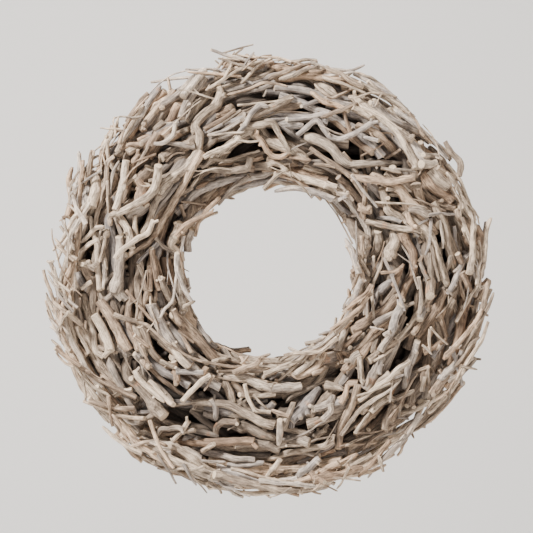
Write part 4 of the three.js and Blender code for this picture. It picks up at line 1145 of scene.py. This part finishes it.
class Tube:  # a limb ring by ring: its line, radius, way along and two sides that don't turn round it
    def __init__(self, limb, step):
        self.diameter = 2 * float(np.mean(limb["radii"]))
        self.line, self.radius, self.t, self.at = smoothLine(limb["points"], limb["radii"], step)
        self.ends = (0, len(self.t) - 1)
        self.setSides()

    def setSides(self):
        ahead = np.gradient(self.line, axis=0)
        ahead /= np.linalg.norm(ahead, axis=1)[:, None]
        side = unit(np.cross(ahead[0], [0.31, 0.22, 0.93]))
        sides = []
        for way in ahead:
            side = unit(side - way * (side @ way))
            sides.append(side)
        self.ahead, self.across = ahead, np.array(sides)
        self.other = np.cross(self.ahead, self.across)

    def around(self, ring, facing):  # the way out of the bark
        return self.across[ring] * math.cos(facing) + self.other[ring] * math.sin(facing)

    def swell(self, spot, size, width):
        self.radius = self.radius * (1 + size * np.exp(-((self.t - spot) / (self.diameter * width)) ** 2))

    def crook(self, ends, forks, draws):  # kinks it at nodes, lifts its bright ends and swells its joints
        t = self.t
        nodes = [draws.between(*growth["nodeStart"])]
        share, full = growth["nodeThin"]
        while nodes[-1] < t[-1]:
            gap = draws.between(*growth["nodeEvery"])
            nodes.append(nodes[-1] + gap * min(1, share + self.diameter / full))
        length, least = growth["fade"]
        fade = np.minimum(1, np.minimum(t, t[-1] - t) / length + least)
        for way in (self.across, self.other):
            thinner = min(1, self.diameter / growth["kinkFull"])
            offsets = [draws.between(-1, 1) * growth["kink"] * thinner for _ in nodes]
            self.line = self.line + way * (np.interp(t, nodes, offsets) * fade)[:, None]
        for end, kind in zip(self.ends, ends):
            if kind == "bright":
                lift = growth["endLift"] * draws.between(*growth["liftSizes"])
                nearness = np.maximum(0, 1 - np.abs(t - t[end]) / growth["liftLength"])
                self.line = self.line - toWall * (lift * nearness ** growth["liftCurve"])[:, None]
        self.setSides()
        atBend, atNode, atFork = growth["swellWidths"]
        for spot in self.at[1:-1]:
            self.swell(spot, growth["bendSwell"], atBend)
        for spot in nodes:
            self.swell(spot, growth["nodeSwell"] * draws.between(*growth["nodeSizes"]), atNode)
        for spot in forks:
            self.swell(spot, growth["forkSwell"], atFork)

    def bark(self, s, turn, draws):  # lumps and knots, as a share of the radius
        lumps = np.zeros(len(s))
        for lobes in range(4):
            wave = draws.between(*growth["lumpWaves"])
            size = draws.between(*growth["lumpSizes"]) * growth["lump"] * growth["lumpShare"]
            lumps += size * np.sin(lobes * turn + s * fullTurn / wave + draws.between(0, fullTurn))
        for k in range(int(self.t[-1] / growth["knotEvery"] + draws.between(0, 1))):
            spot = draws.between(*growth["knotAlong"]) * self.t[-1]
            facing = draws.between(-halfTurn, halfTurn)
            height = draws.between(*growth["knotHeight"])
            wide = self.diameter * draws.between(*growth["knotWidth"])
            lumps += height * np.exp(-((s - spot) / wide) ** 2) * np.maximum(0, np.cos(turn - facing)) ** 2
        return lumps

    def cutEnd(self, end, way, kind, draws):  # how steep a cut is and where it faces
        facing = draws.between(-halfTurn, halfTurn)
        if kind == "broken":
            return facing, growth["brokenSlope"]
        slope = draws.between(0, growth["cutSlope"])
        if kind == "bright":  # the cut looks towards the front
            facing = math.atan2(self.other[end][1] * way, self.across[end][1] * way)
            slope = draws.between(*growth["shownSlope"])
        return facing, slope


def sunkenness(place):  # 1 on the roll's oval, and less inside it
    distance = np.hypot(place[:, 0], place[:, 2])
    across = np.abs(distance - roll["ringRadius"]) / roll["halfWidth"]
    deep = np.abs(place[:, 1] - roll["middleY"]) / roll["halfDepth"]
    return (across ** roll["roundness"] + deep ** roll["roundness"]) ** (1 / roll["roundness"])


def growTube(bm, limb, tone, ends, draws, step=None, sides=None, forks=(), plain=False):
    tube = Tube(limb, step or growth["step"])
    sides = sides or next(count for least, count in growth["sides"] if tube.diameter >= least)
    mesh, ring, share, turn = stockTube(sides, len(tube.t))
    if not plain:
        tube.crook(ends, forks, draws)
    s, r = tube.t[ring], tube.radius[ring]
    if not plain:
        r = r * (1 + tube.bark(s, turn, draws))
    shift = np.zeros(len(s))
    cut = np.zeros(len(s))
    for end, way, kind in zip(tube.ends, (-1, 1), ends):
        here = ring == end
        facing, slope = tube.cutEnd(end, way, kind, draws)
        shift[here] += slope * r[here] * share[here] * np.cos(turn[here] - facing)
        lip = here & (share < 0.99)
        ofChamfer, most = growth["lip"]
        shift[lip] += way * min(most, growth["chamfer"] * ofChamfer * tube.radius[end])
        cut[lip] = growth["cutBright"][kind]
        if kind == "broken":
            length = tube.diameter * growth["brokenLength"]
            tip, more = growth["brokenTip"]
            close = np.abs(s - tube.t[end]) < length
            r[close] *= tip + more * np.sqrt(np.abs(s[close] - tube.t[end]) / length)
    x, y = r * share * np.cos(turn), r * share * np.sin(turn)
    place = tube.line[ring] + tube.across[ring] * x[:, None] + tube.other[ring] * y[:, None]
    place = place + tube.ahead[ring] * shift[:, None]
    layers = {
        "grain": np.stack([x, y, s + draws.between(*growth["grainStart"])], 1),
        "tone": np.tile(tone, (len(s), 1)),
        "cut": cut,
        "sunk": sunkenness(place),
    }
    inMetres = place / 1000 + np.array([0, 0, photoView["ringCentreZ"]])
    mesh.vertices.foreach_set("co", inMetres.astype(np.float32).ravel())
    for name, values in layers.items():
        kind = "vector" if values.ndim == 2 else "value"
        mesh.attributes[name].data.foreach_set(kind, values.astype(np.float32).ravel())
    bm.from_mesh(mesh)
    return tube


def endKind(point, thin, draws):
    kind = draws.pick(growth["thinEnds" if thin else "thickEnds"])
    marked = any(math.hypot(point[0] - x, point[2] - z) < growth["cutReach"] for x, z in brightCuts)
    return "bright" if marked and point[1] < roll["middleY"] else kind


def toneOf(laid, draws):  # brightness, warmth, whitewash
    tone = [draws.between(-1, 1), draws.between(-1, 1), draws.between(0, 1)]
    if laid["filler"]:
        spread, level = growth["fillerSpreadAndShade"]
        # The lower level is painted shade for fillers tucked into the gaps.
        tone[0] = tone[0] * spread + level
    for marked, keys in markedTones:
        if laid["key"] in keys:
            tone = marked
    return tone


def growShoot(bm, tube, ring, foot, ahead, tone, s, draws):  # what is left of a side shoot
    out = tube.around(ring, draws.between(0, fullTurn))
    out = unit(out + ahead * draws.between(*s["slant"]) - toWall * s["forwards"])
    thick = min(tube.radius[ring] * draws.between(*s["thickness"]), s["thickest"])
    tip = foot + out * (tube.radius[ring] + draws.between(*s["reach"]))
    tooFar = math.hypot(tip[0], tip[2]) > extra["edgeRoom"][1]
    if tooFar or tip[1] > -shoot["room"] or tip[1] < roll["face"] - shoot["room"]:
        return
    points = [foot, mixed(foot, tip, shoot["bend"]), tip]
    limb = {"points": points, "radii": [thick * wider for wider in shoot["widening"]]}
    ends = ["hidden", draws.pick(s["ends"])]
    growTube(bm, limb, tone, ends, draws, step=shoot["step"], sides=shoot["sides"], plain=True)


def growShoots(bm, tube, ends, filler, tone, draws):
    rings = len(tube.t)
    for k in range(2 if tube.t[-1] > stubs["twoFrom"] else 1):
        if draws.between(0, 1) > stubs["chance"] * (stubs["fillerShare"] if filler else 1):
            continue
        ring = int(draws.between(*stubs["along"]) * (rings - 1))
        growShoot(bm, tube, ring, tube.line[ring], wayAt(tube.line, ring), tone, stubs, draws)
    for end, kind in zip(tube.ends, ends):
        if filler or kind == "broken" or draws.between(0, 1) > knuckles["chance"]:
            continue
        ahead = unit(tube.line[end] - tube.line[1 if end == 0 else end - 1])
        for k in range(1 if draws.between(0, 1) < knuckles["singleShare"] else 2):
            foot = tube.line[end] - ahead * draws.between(*knuckles["back"])
            growShoot(bm, tube, end, foot, ahead, tone, knuckles, draws)


def growRoot(bm, laid, draws):
    tone = toneOf(laid, draws)
    trunk, *others = laid["limbs"]
    thin = 2 * float(np.mean(trunk["radii"])) < growth["thin"]
    gaps = np.linalg.norm(np.diff(np.array(trunk["points"]), axis=0), axis=1)
    at = np.concatenate([[0], np.cumsum(gaps)])
    places = [limb["place"] for limb in others]
    forks = [mixed(at[segment], at[segment + 1], share) for segment, share in places]
    ends = [endKind(trunk["points"][end], thin, draws) for end in (0, -1)]
    filler = laid["filler"]
    step = growth["fillerStep" if filler else "step"]
    sides = growth["fillerSides"] if filler else None
    tube = growTube(bm, trunk, tone, ends, draws, step=step, sides=sides, forks=forks)
    for limb in others:
        radii = [limb["radii"][0] * growth["forkFoot"], *limb["radii"][1:]]
        kinds = [endKind(limb["points"][end], 2 * radii[-1] < growth["thinFork"], draws) for end in (0, -1)]
        growTube(bm, {"points": limb["points"], "radii": radii}, tone, ["hidden", kinds[1]], draws, step=step)
    if not thin:
        growShoots(bm, tube, ends, filler, tone, draws)


class Value:  # one output of a node, so that shader maths reads as Python
    def __init__(self, finish, socket):
        self.finish, self.socket = finish, socket

    def math(self, operation, *others, clamp=False):
        return self.finish.math(operation, self, *others, clamp=clamp)

    def __add__(self, other):
        return self.math("ADD", other)

    def __sub__(self, other):
        return self.math("SUBTRACT", other)

    def __rsub__(self, other):
        return self.finish.math("SUBTRACT", other, self)

    def __mul__(self, other):
        return self.math("MULTIPLY", other)

    def clamped(self):
        return self.math("ADD", 0.0, clamp=True)

    def ramp(self, low, high):
        return self.finish.add("ShaderNodeMapRange", {"interpolation_type": "SMOOTHSTEP"},
                               {"Value": self, "From Min": low, "From Max": high})


class Finish:  # a material and its nodes
    def __init__(self, name):
        self.material = bpy.data.materials.new(name)
        self.material.use_nodes = True
        self.tree = self.material.node_tree
        self.shader = self.tree.nodes["Principled BSDF"]

    def add(self, kind, settings=None, inputs=None, output=0):
        node = self.tree.nodes.new(kind)
        for key, value in (settings or {}).items():
            setattr(node, key, value)
        for key, value in (inputs or {}).items():
            self.plug(node.inputs[key], value)
        return Value(self, node.outputs[output])

    def plug(self, socket, value):
        if isinstance(value, Value):
            self.tree.links.new(value.socket, socket)
        else:
            socket.default_value = value

    def math(self, operation, *terms, clamp=False):
        settings = {"operation": operation, "use_clamp": clamp}
        return self.add("ShaderNodeMath", settings, dict(enumerate(terms)))

    def attribute(self, name, output):
        return self.add("ShaderNodeAttribute", {"attribute_name": name}, output=output)

    def stretched(self, vector, scale):
        return self.add("ShaderNodeVectorMath", {"operation": "MULTIPLY"}, {0: vector, 1: scale})

    def noise(self, vector, scale, detail=3.0, roughness=0.55, distortion=0.0):
        return self.add("ShaderNodeTexNoise", {}, {"Vector": vector, "Scale": scale, "Detail": detail,
                                                   "Roughness": roughness, "Distortion": distortion})

    def blend(self, factor, first, second, kind="MIX"):
        return self.add("ShaderNodeMix", {"data_type": "RGBA", "blend_type": kind},
                        {0: factor, 6: first, 7: second}, output=2)

    def bump(self, strength, distance, height):
        return self.add("ShaderNodeBump", {}, {"Strength": strength, "Distance": distance, "Height": height})

    def surface(self, **sockets):
        for name, value in sockets.items():
            self.plug(self.shader.inputs[name.replace("_", " ")], value)


def shade(red, green, blue):  # a colour as a paint program gives it
    def linear(c):
        c /= 255
        return c / 12.92 if c <= 0.04045 else ((c + 0.055) / 1.055) ** 2.4
    return (linear(red), linear(green), linear(blue), 1)


barkLook = {
    "wash": shade(217, 197, 174),
    "washThin": shade(188, 168, 146),
    "bark": shade(158, 140, 122),
    "barkDark": shade(94, 79, 66),
    # painted shade: the near black that roots deep in the roll are darkened towards
    "deep": shade(42, 33, 27),
    "coolTint": shade(164, 166, 173),
    "warmTint": shade(232, 204, 178),
    "rust": shade(172, 122, 84),
    "cutPale": shade(218, 199, 173),
    "cutRing": shade(184, 158, 130),
    "cutWorn": shade(162, 143, 123),
    "roughness": 0.86,
    "relief": 0.0022,
    # how far each pattern is stretched, then its scale, detail, roughness and distortion
    "patterns": {
        "fibre": ((1, 1, 0.09), 0.75, 6, 0.66, 0.4),
        "furrow": ((1, 1, 0.16), 0.36, 3, 0.5),
        "patch": ((1, 1, 0.4), 0.13, 4, 0.6),
        "pit": ((1, 1, 0.6), 1.6, 2),
        "wrinkle": ((0.4, 0.4, 1.7), 0.45, 3, 0.6),
        "mottle": ((1, 1, 0.45), 0.34, 3, 0.6),
    },
    # how much of each pattern is in the height of the bark
    "heights": {"fibre": 0.7, "furrow": 0.8, "mottle": 0.5, "wrinkle": 0.4, "pit": 0.12},
}


def makeBark(s):
    f = Finish("whitewashed_bark")
    grain, tone = f.attribute("grain", "Vector"), f.attribute("tone", "Vector")
    bright, warm, washed = (f.add("ShaderNodeSeparateXYZ", {}, {0: tone}, output=k) for k in range(3))
    cut, sunk = f.attribute("cut", "Fac"), f.attribute("sunk", "Fac")
    seen = {name: f.noise(f.stretched(grain, stretch), *settings)
            for name, (stretch, *settings) in s["patterns"].items()}
    fibre, furrow, patch, pit, mottle = (seen[k] for k in ("fibre", "furrow", "patch", "pit", "mottle"))

    # Whitewash lies on the high and outer parts, and bare bark shows in the furrows and deeper in; the
    # thinner wash deeper in is partly where the spray doesn't reach and partly painted shade. Deep in the
    # roll the colour is then darkened towards near black: painted shade between the roots.
    bare = f.blend(fibre.ramp(0.34, 0.56), s["barkDark"], s["bark"])
    paint = f.blend(fibre.ramp(0.40, 0.62), s["washThin"], s["wash"])
    outside = sunk.ramp(0.72, 1.02)
    cover = patch * 1.9 + fibre * 1.3 + washed * 0.3 + bright * 0.14 + outside * 0.14 - 1.62
    colour = f.blend(cover.ramp(0.0, 0.55) * (outside * 0.4 + 0.6), bare, paint)
    warmed = f.blend(1.0, colour, s["warmTint"], "MULTIPLY")
    colour = f.blend((warm * 0.7 - 0.1).clamped(), colour, warmed)
    colour = f.blend((warm * -0.5 - 0.14).clamped(), colour, s["coolTint"])
    shadow = (furrow.ramp(0.36, 0.58) * 0.3 + 0.78, mottle.ramp(0.38, 0.60) * 0.32 + 0.78)
    level = (bright * 0.17 + 0.965) * shadow[0] * shadow[1]
    grey = f.add("ShaderNodeCombineXYZ", {}, {0: level, 1: level, 2: level})
    colour = f.blend(1.0, colour, grey, "MULTIPLY")
    crack = 1 - fibre.ramp(0.34, 0.43) * (pit.ramp(0.30, 0.42) * 0.5 + 0.5)
    colour = f.blend(crack * 0.9, colour, s["barkDark"])
    spots = f.noise(grain, 0.055, detail=1)
    colour = f.blend(spots.ramp(0.70, 0.76) * fibre.ramp(0.4, 0.6) * 0.7, colour, s["rust"])
    # Painted shade: deeper in the roll the colour goes towards near black, where the roots shade each other.
    colour = f.blend(sunk.ramp(0.84, 0.46) * 0.88, colour, s["deep"])

    # A cut end has rings round its middle, and an old one is grey.
    flat = f.stretched(grain, (1, 1, 0))
    radius = f.add("ShaderNodeVectorMath", {"operation": "LENGTH"}, {0: flat}, output="Value")
    rings = (radius * 4.6 + f.noise(flat, 0.5) * 5).math("SINE") * 0.5 + 0.5
    weather = f.noise(flat, 1.1, detail=4)
    fresh = f.blend(rings * 0.7, s["cutPale"], s["cutRing"])
    fresh = f.blend(weather.ramp(0.46, 0.62) * 0.75, fresh, s["cutWorn"])
    fresh = f.blend(radius.ramp(0.9, 0.2) * 0.7, fresh, s["bark"])
    end = f.blend(cut.ramp(0.45, 0.95), f.blend(rings * 0.5, s["cutWorn"], s["bark"]), fresh)
    # A cut end deep in the roll keeps that painted shade.
    colour = f.blend(cut.ramp(0.08, 0.4) * (1 - sunk.ramp(0.95, 0.5) * 0.8), colour, end)

    first, *others = (seen[name] * share for name, share in s["heights"].items())
    bump = f.bump(0.9, s["relief"], sum(others, first))
    f.surface(Base_Color=colour, Roughness=fibre * 0.12 + (s["roughness"] - 0.06), Normal=bump)
    return f.material


steelLook = {
    "paint": shade(44, 41, 39),
    "paintWorn": shade(70, 64, 58),
    "rust": shade(112, 66, 40),
    "relief": 0.0003,
}


def makeSteel(s):
    f = Finish("blackened_steel")
    place = f.add("ShaderNodeTexCoord", output="Object")
    cloud = f.noise(place, 60, detail=5, roughness=0.65)
    fleck = f.noise(place, 420, detail=3)
    colour = f.blend(cloud.ramp(0.45, 0.68), s["paint"], s["paintWorn"])
    rusty = cloud.ramp(0.60, 0.72) * fleck.ramp(0.45, 0.6)
    colour = f.blend(rusty, colour, s["rust"])
    bump = f.bump(0.5, s["relief"], fleck * 0.6 + cloud * 0.4)
    f.surface(Base_Color=colour, Metallic=(1 - rusty) * 0.75, Roughness=cloud * 0.3 + 0.36, Normal=bump)
    return f.material


wireLook = {
    "zinc": shade(150, 149, 146),
    "dull": shade(108, 104, 98),
    "drawn": (900, 900, 60),
    "relief": 0.0001,
}


def makeWire(s):
    f = Finish("annealed_wire")
    place = f.add("ShaderNodeTexCoord", output="Object")
    cloud = f.noise(place, 240, detail=4)
    drawn = f.noise(f.stretched(place, s["drawn"]), 1.0, detail=2)
    colour = f.blend(cloud.ramp(0.4, 0.65), s["zinc"], s["dull"])
    bump = f.bump(0.3, s["relief"], drawn)
    f.surface(Base_Color=colour, Metallic=0.95, Roughness=cloud * 0.25 + 0.28, Normal=bump)
    return f.material


bark, steel, wire = makeBark(barkLook), makeSteel(steelLook), makeWire(wireLook)
print("finishes ready")


def makePiece(bm, name, material, node, sharp=38):
    mesh = bpy.data.meshes.new(name)
    bm.to_mesh(mesh)
    bm.free()
    mesh.shade_smooth()
    mesh.set_sharp_from_angle(angle=math.radians(sharp))
    mesh.materials.append(material)
    piece = bpy.data.objects.new(name, mesh)
    bpy.context.scene.collection.objects.link(piece)
    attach(piece, "root")
    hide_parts(node)


# The roots packed inside each bunch, in place of its plain heart.
packedHeart = {
    "round": 18,
    "unevenness": 0.3,  # of the space between two
    "size": 21,
    "sizeSpread": 1.6,
    "bends": 5,
    "thickness": (10.5, 14),
    "lumps": (0.85, 1.1),
    "starts": (-0.28, 0.12),  # along the bunch, from 0 to 1
    "stops": (0.88, 1.28),
    "lean": 0.35,
    "kink": 0.09,
    # brightness leans dark: painted shade for the roots packed inside the bunch
    "brightness": (-1, 0.2),
    "warmth": (-0.6, 1),
    "whitewash": 0.1,
    # a darker tone: painted shade for the innermost roots
    "innerShadedTone": (-0.5, 0, 0),
    "innerRadius": 11,
    "innerBends": (-0.06, 0.33, 0.67, 1.06),
    "step": 6.5,
    "sides": 8,
}


def growHeart(bm, bunch, s, draws):
    def grow(points, radii, tone):
        limb = {"points": points, "radii": radii}
        growTube(bm, limb, tone, ["worn", "worn"], draws, step=s["step"], sides=s["sides"])

    for k in range(s["round"]):
        section = (k + draws.between(-s["unevenness"], s["unevenness"])) / s["round"] * fullTurn
        lean = draws.between(-s["lean"], s["lean"])
        thick = draws.between(*s["thickness"]) / 2
        first, last = draws.between(*s["starts"]), draws.between(*s["stops"])
        points = []
        for bend in range(s["bends"]):
            along = mixed(first, last, bend / (s["bends"] - 1))
            turned = section + lean * (along - 0.5) + draws.between(-s["kink"], s["kink"])
            size = s["size"] + draws.between(-s["sizeSpread"], s["sizeSpread"])
            points.append(corePoint(bunch, along, turned, size))
        radii = [thick * draws.between(*s["lumps"]) for _ in points]
        grow(points, radii, [draws.between(*s["brightness"]), draws.between(*s["warmth"]), s["whitewash"]])
    for section in (0, math.pi / 2, math.pi):  # three more in the middle, so that nothing shines through
        points = [corePoint(bunch, along, section, 0) for along in s["innerBends"]]
        # Their darker tone is painted shade.
        grow(points, [s["innerRadius"]] * len(points), s["innerShadedTone"])


def makeRoots(draws):
    bunches = [bmesh.new() for _ in range(heart["bunches"])]
    singles = 0
    for laid in laidRoots:
        if not laid["single"]:
            growRoot(bunches[laid["bunch"]], laid, draws)
            continue
        singles += 1
        bm = bmesh.new()
        growRoot(bm, laid, draws)
        makePiece(bm, "branch_%02d" % singles, bark, "root_branch_%02d" % singles)
    print("single branches grown:", singles)
    for bunch, bm in enumerate(bunches):
        growHeart(bm, bunch, packedHeart, draws)
        makePiece(bm, "bunch_%02d" % (bunch + 1), bark, "root_bunch_%02d" % (bunch + 1))
    print("bunches grown:", len(bunches))


makeRoots(Draws(4407))

# From millimetres round the wreath's middle to the part's own place.
toPlace = Matrix.Translation((0, 0, photoView["ringCentreZ"])) @ Matrix.Diagonal((0.001, 0.001, 0.001, 1))


def spinRound(bm, middle, axis, radius, sides, steps):  # a ring of round rod
    rod = bmesh.ops.create_circle(bm, segments=sides, radius=radius)["verts"]
    bmesh.ops.translate(bm, verts=rod, vec=middle)
    edges = [e for e in bm.edges if e.verts[0] in rod and e.verts[1] in rod]
    bmesh.ops.spin(bm, geom=[*rod, *edges], cent=(0, 0, 0), axis=axis, angle=math.radians(360), steps=steps,
                   use_merge=True)


def makeStrap(s):  # one cross strap with its four weld beads, as a mesh to copy
    strap = bmesh.new()
    plate = bmesh.ops.create_cube(strap, size=1)["verts"]
    bmesh.ops.scale(strap, verts=plate, vec=s["strapSize"])
    bmesh.ops.bevel(strap, geom=strap.edges[:], offset=s["strapEdge"], segments=3, profile=0.5,
                    affect="EDGES", material=-1)
    bmesh.ops.translate(strap, verts=strap.verts[:], vec=(sum(s["hoops"]) / 2, -s["strapSize"][1] / 2, 0))
    aside, behind = s["weldPlace"]
    for hoop in s["hoops"]:
        for side in (-1, 1):
            bead = bmesh.ops.create_icosphere(strap, subdivisions=2, radius=s["weldRadius"])["verts"]
            bmesh.ops.scale(strap, verts=bead, vec=s["weldShape"])
            bmesh.ops.translate(strap, verts=bead, vec=(hoop + side * aside, s["rodMiddleY"] + behind, 0))
    made = bpy.data.meshes.new("strap")
    strap.to_mesh(made)
    strap.free()
    return made


def makeFrame(s):
    bm = bmesh.new()
    for hoop in s["hoops"]:
        spinRound(bm, (hoop, 0, 0), (0, 1, 0), s["rodRadius"], s["rodSides"], s["rodSteps"])
    bmesh.ops.translate(bm, verts=bm.verts[:], vec=(0, s["rodMiddleY"], 0))
    strap = makeStrap(s)
    for k in range(s["straps"]):
        bm.from_mesh(strap)
        strap.transform(Matrix.Rotation(2 * math.pi / s["straps"], 4, "Y"))
    bpy.data.meshes.remove(strap)
    bmesh.ops.recalc_face_normals(bm, faces=bm.faces[:])
    bmesh.ops.transform(bm, matrix=toPlace, verts=bm.verts[:])
    makePiece(bm, "ring_frame", steel, "frame")


makeFrame(ringFrame)

# The loop of wire that hangs on the nail, wound once round the outer hoop at each end.
wireLoop = {
    "radius": 1.5,
    "halfWidth": 12,
    "sides": 12,
    "step": 1.2,
    "windingSteps": 30,
    "lean": math.pi / 32,  # of a winding, as the hoop slopes there
    "coil": (1.06, 0.3),  # the rod's radius times this, and so much air
    # how far aside, from the hoop (0) or from the nail (1), and how much higher
    "bends": ((12, 0, -1), (11, 0, 7), (7.4, 1, -4), (3.1, 1, -0.8)),
}


def makeLoop(s):
    apex = -photoView["ringCentreZ"] * 1000 + s["radius"]
    coil = ringFrame["rodRadius"] * s["coil"][0] + s["coil"][1] + s["radius"]
    hoopTop = ringFrame["hoops"][1] - s["halfWidth"] * math.tan(s["lean"])
    levels = (hoopTop + coil, apex)
    right = [(aside, levels[level] + rise) for aside, level, rise in s["bends"]]
    spots = [*((-x, z) for x, z in right), (0, apex), *reversed(right)]
    points = [np.array([x, ringFrame["rodMiddleY"], z]) for x, z in spots]
    bm = bmesh.new()
    growTube(bm, {"points": points, "radii": [s["radius"]] * len(points)}, [0, 0, 0], ["worn", "worn"],
             Draws(3), step=s["step"], sides=s["sides"], plain=True)
    winding = bmesh.new()  # a ring round the rod, which runs along x here
    spinRound(winding, (0, coil, 0), (1, 0, 0), s["radius"], s["sides"], s["windingSteps"])
    wound = bpy.data.meshes.new("winding")
    for side in (-1, 1):
        winding.to_mesh(wound)
        place = Matrix.Translation((side * s["halfWidth"], ringFrame["rodMiddleY"], hoopTop))
        wound.transform(toPlace @ place @ Matrix.Rotation(side * s["lean"], 4, "Y"))
        bm.from_mesh(wound)
    winding.free()
    bpy.data.meshes.remove(wound)
    bmesh.ops.recalc_face_normals(bm, faces=bm.faces[:])
    makePiece(bm, "wire_loop", wire, "hanging_loop")


makeLoop(wireLoop)
print("frame and loop made")

for mesh, *_ in tubeStock.values():
    bpy.data.meshes.remove(mesh)
triangles = {o.name: sum(len(p.vertices) - 2 for p in o.data.polygons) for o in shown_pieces()}
print("triangles:", sum(triangles.values()), "most in one piece:", max(triangles.values()))
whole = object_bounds()
for name, box in (("cad box", cadBox), ("visual box", whole)):
    print(name, [[round(value, 4) for value in corner] for corner in box])
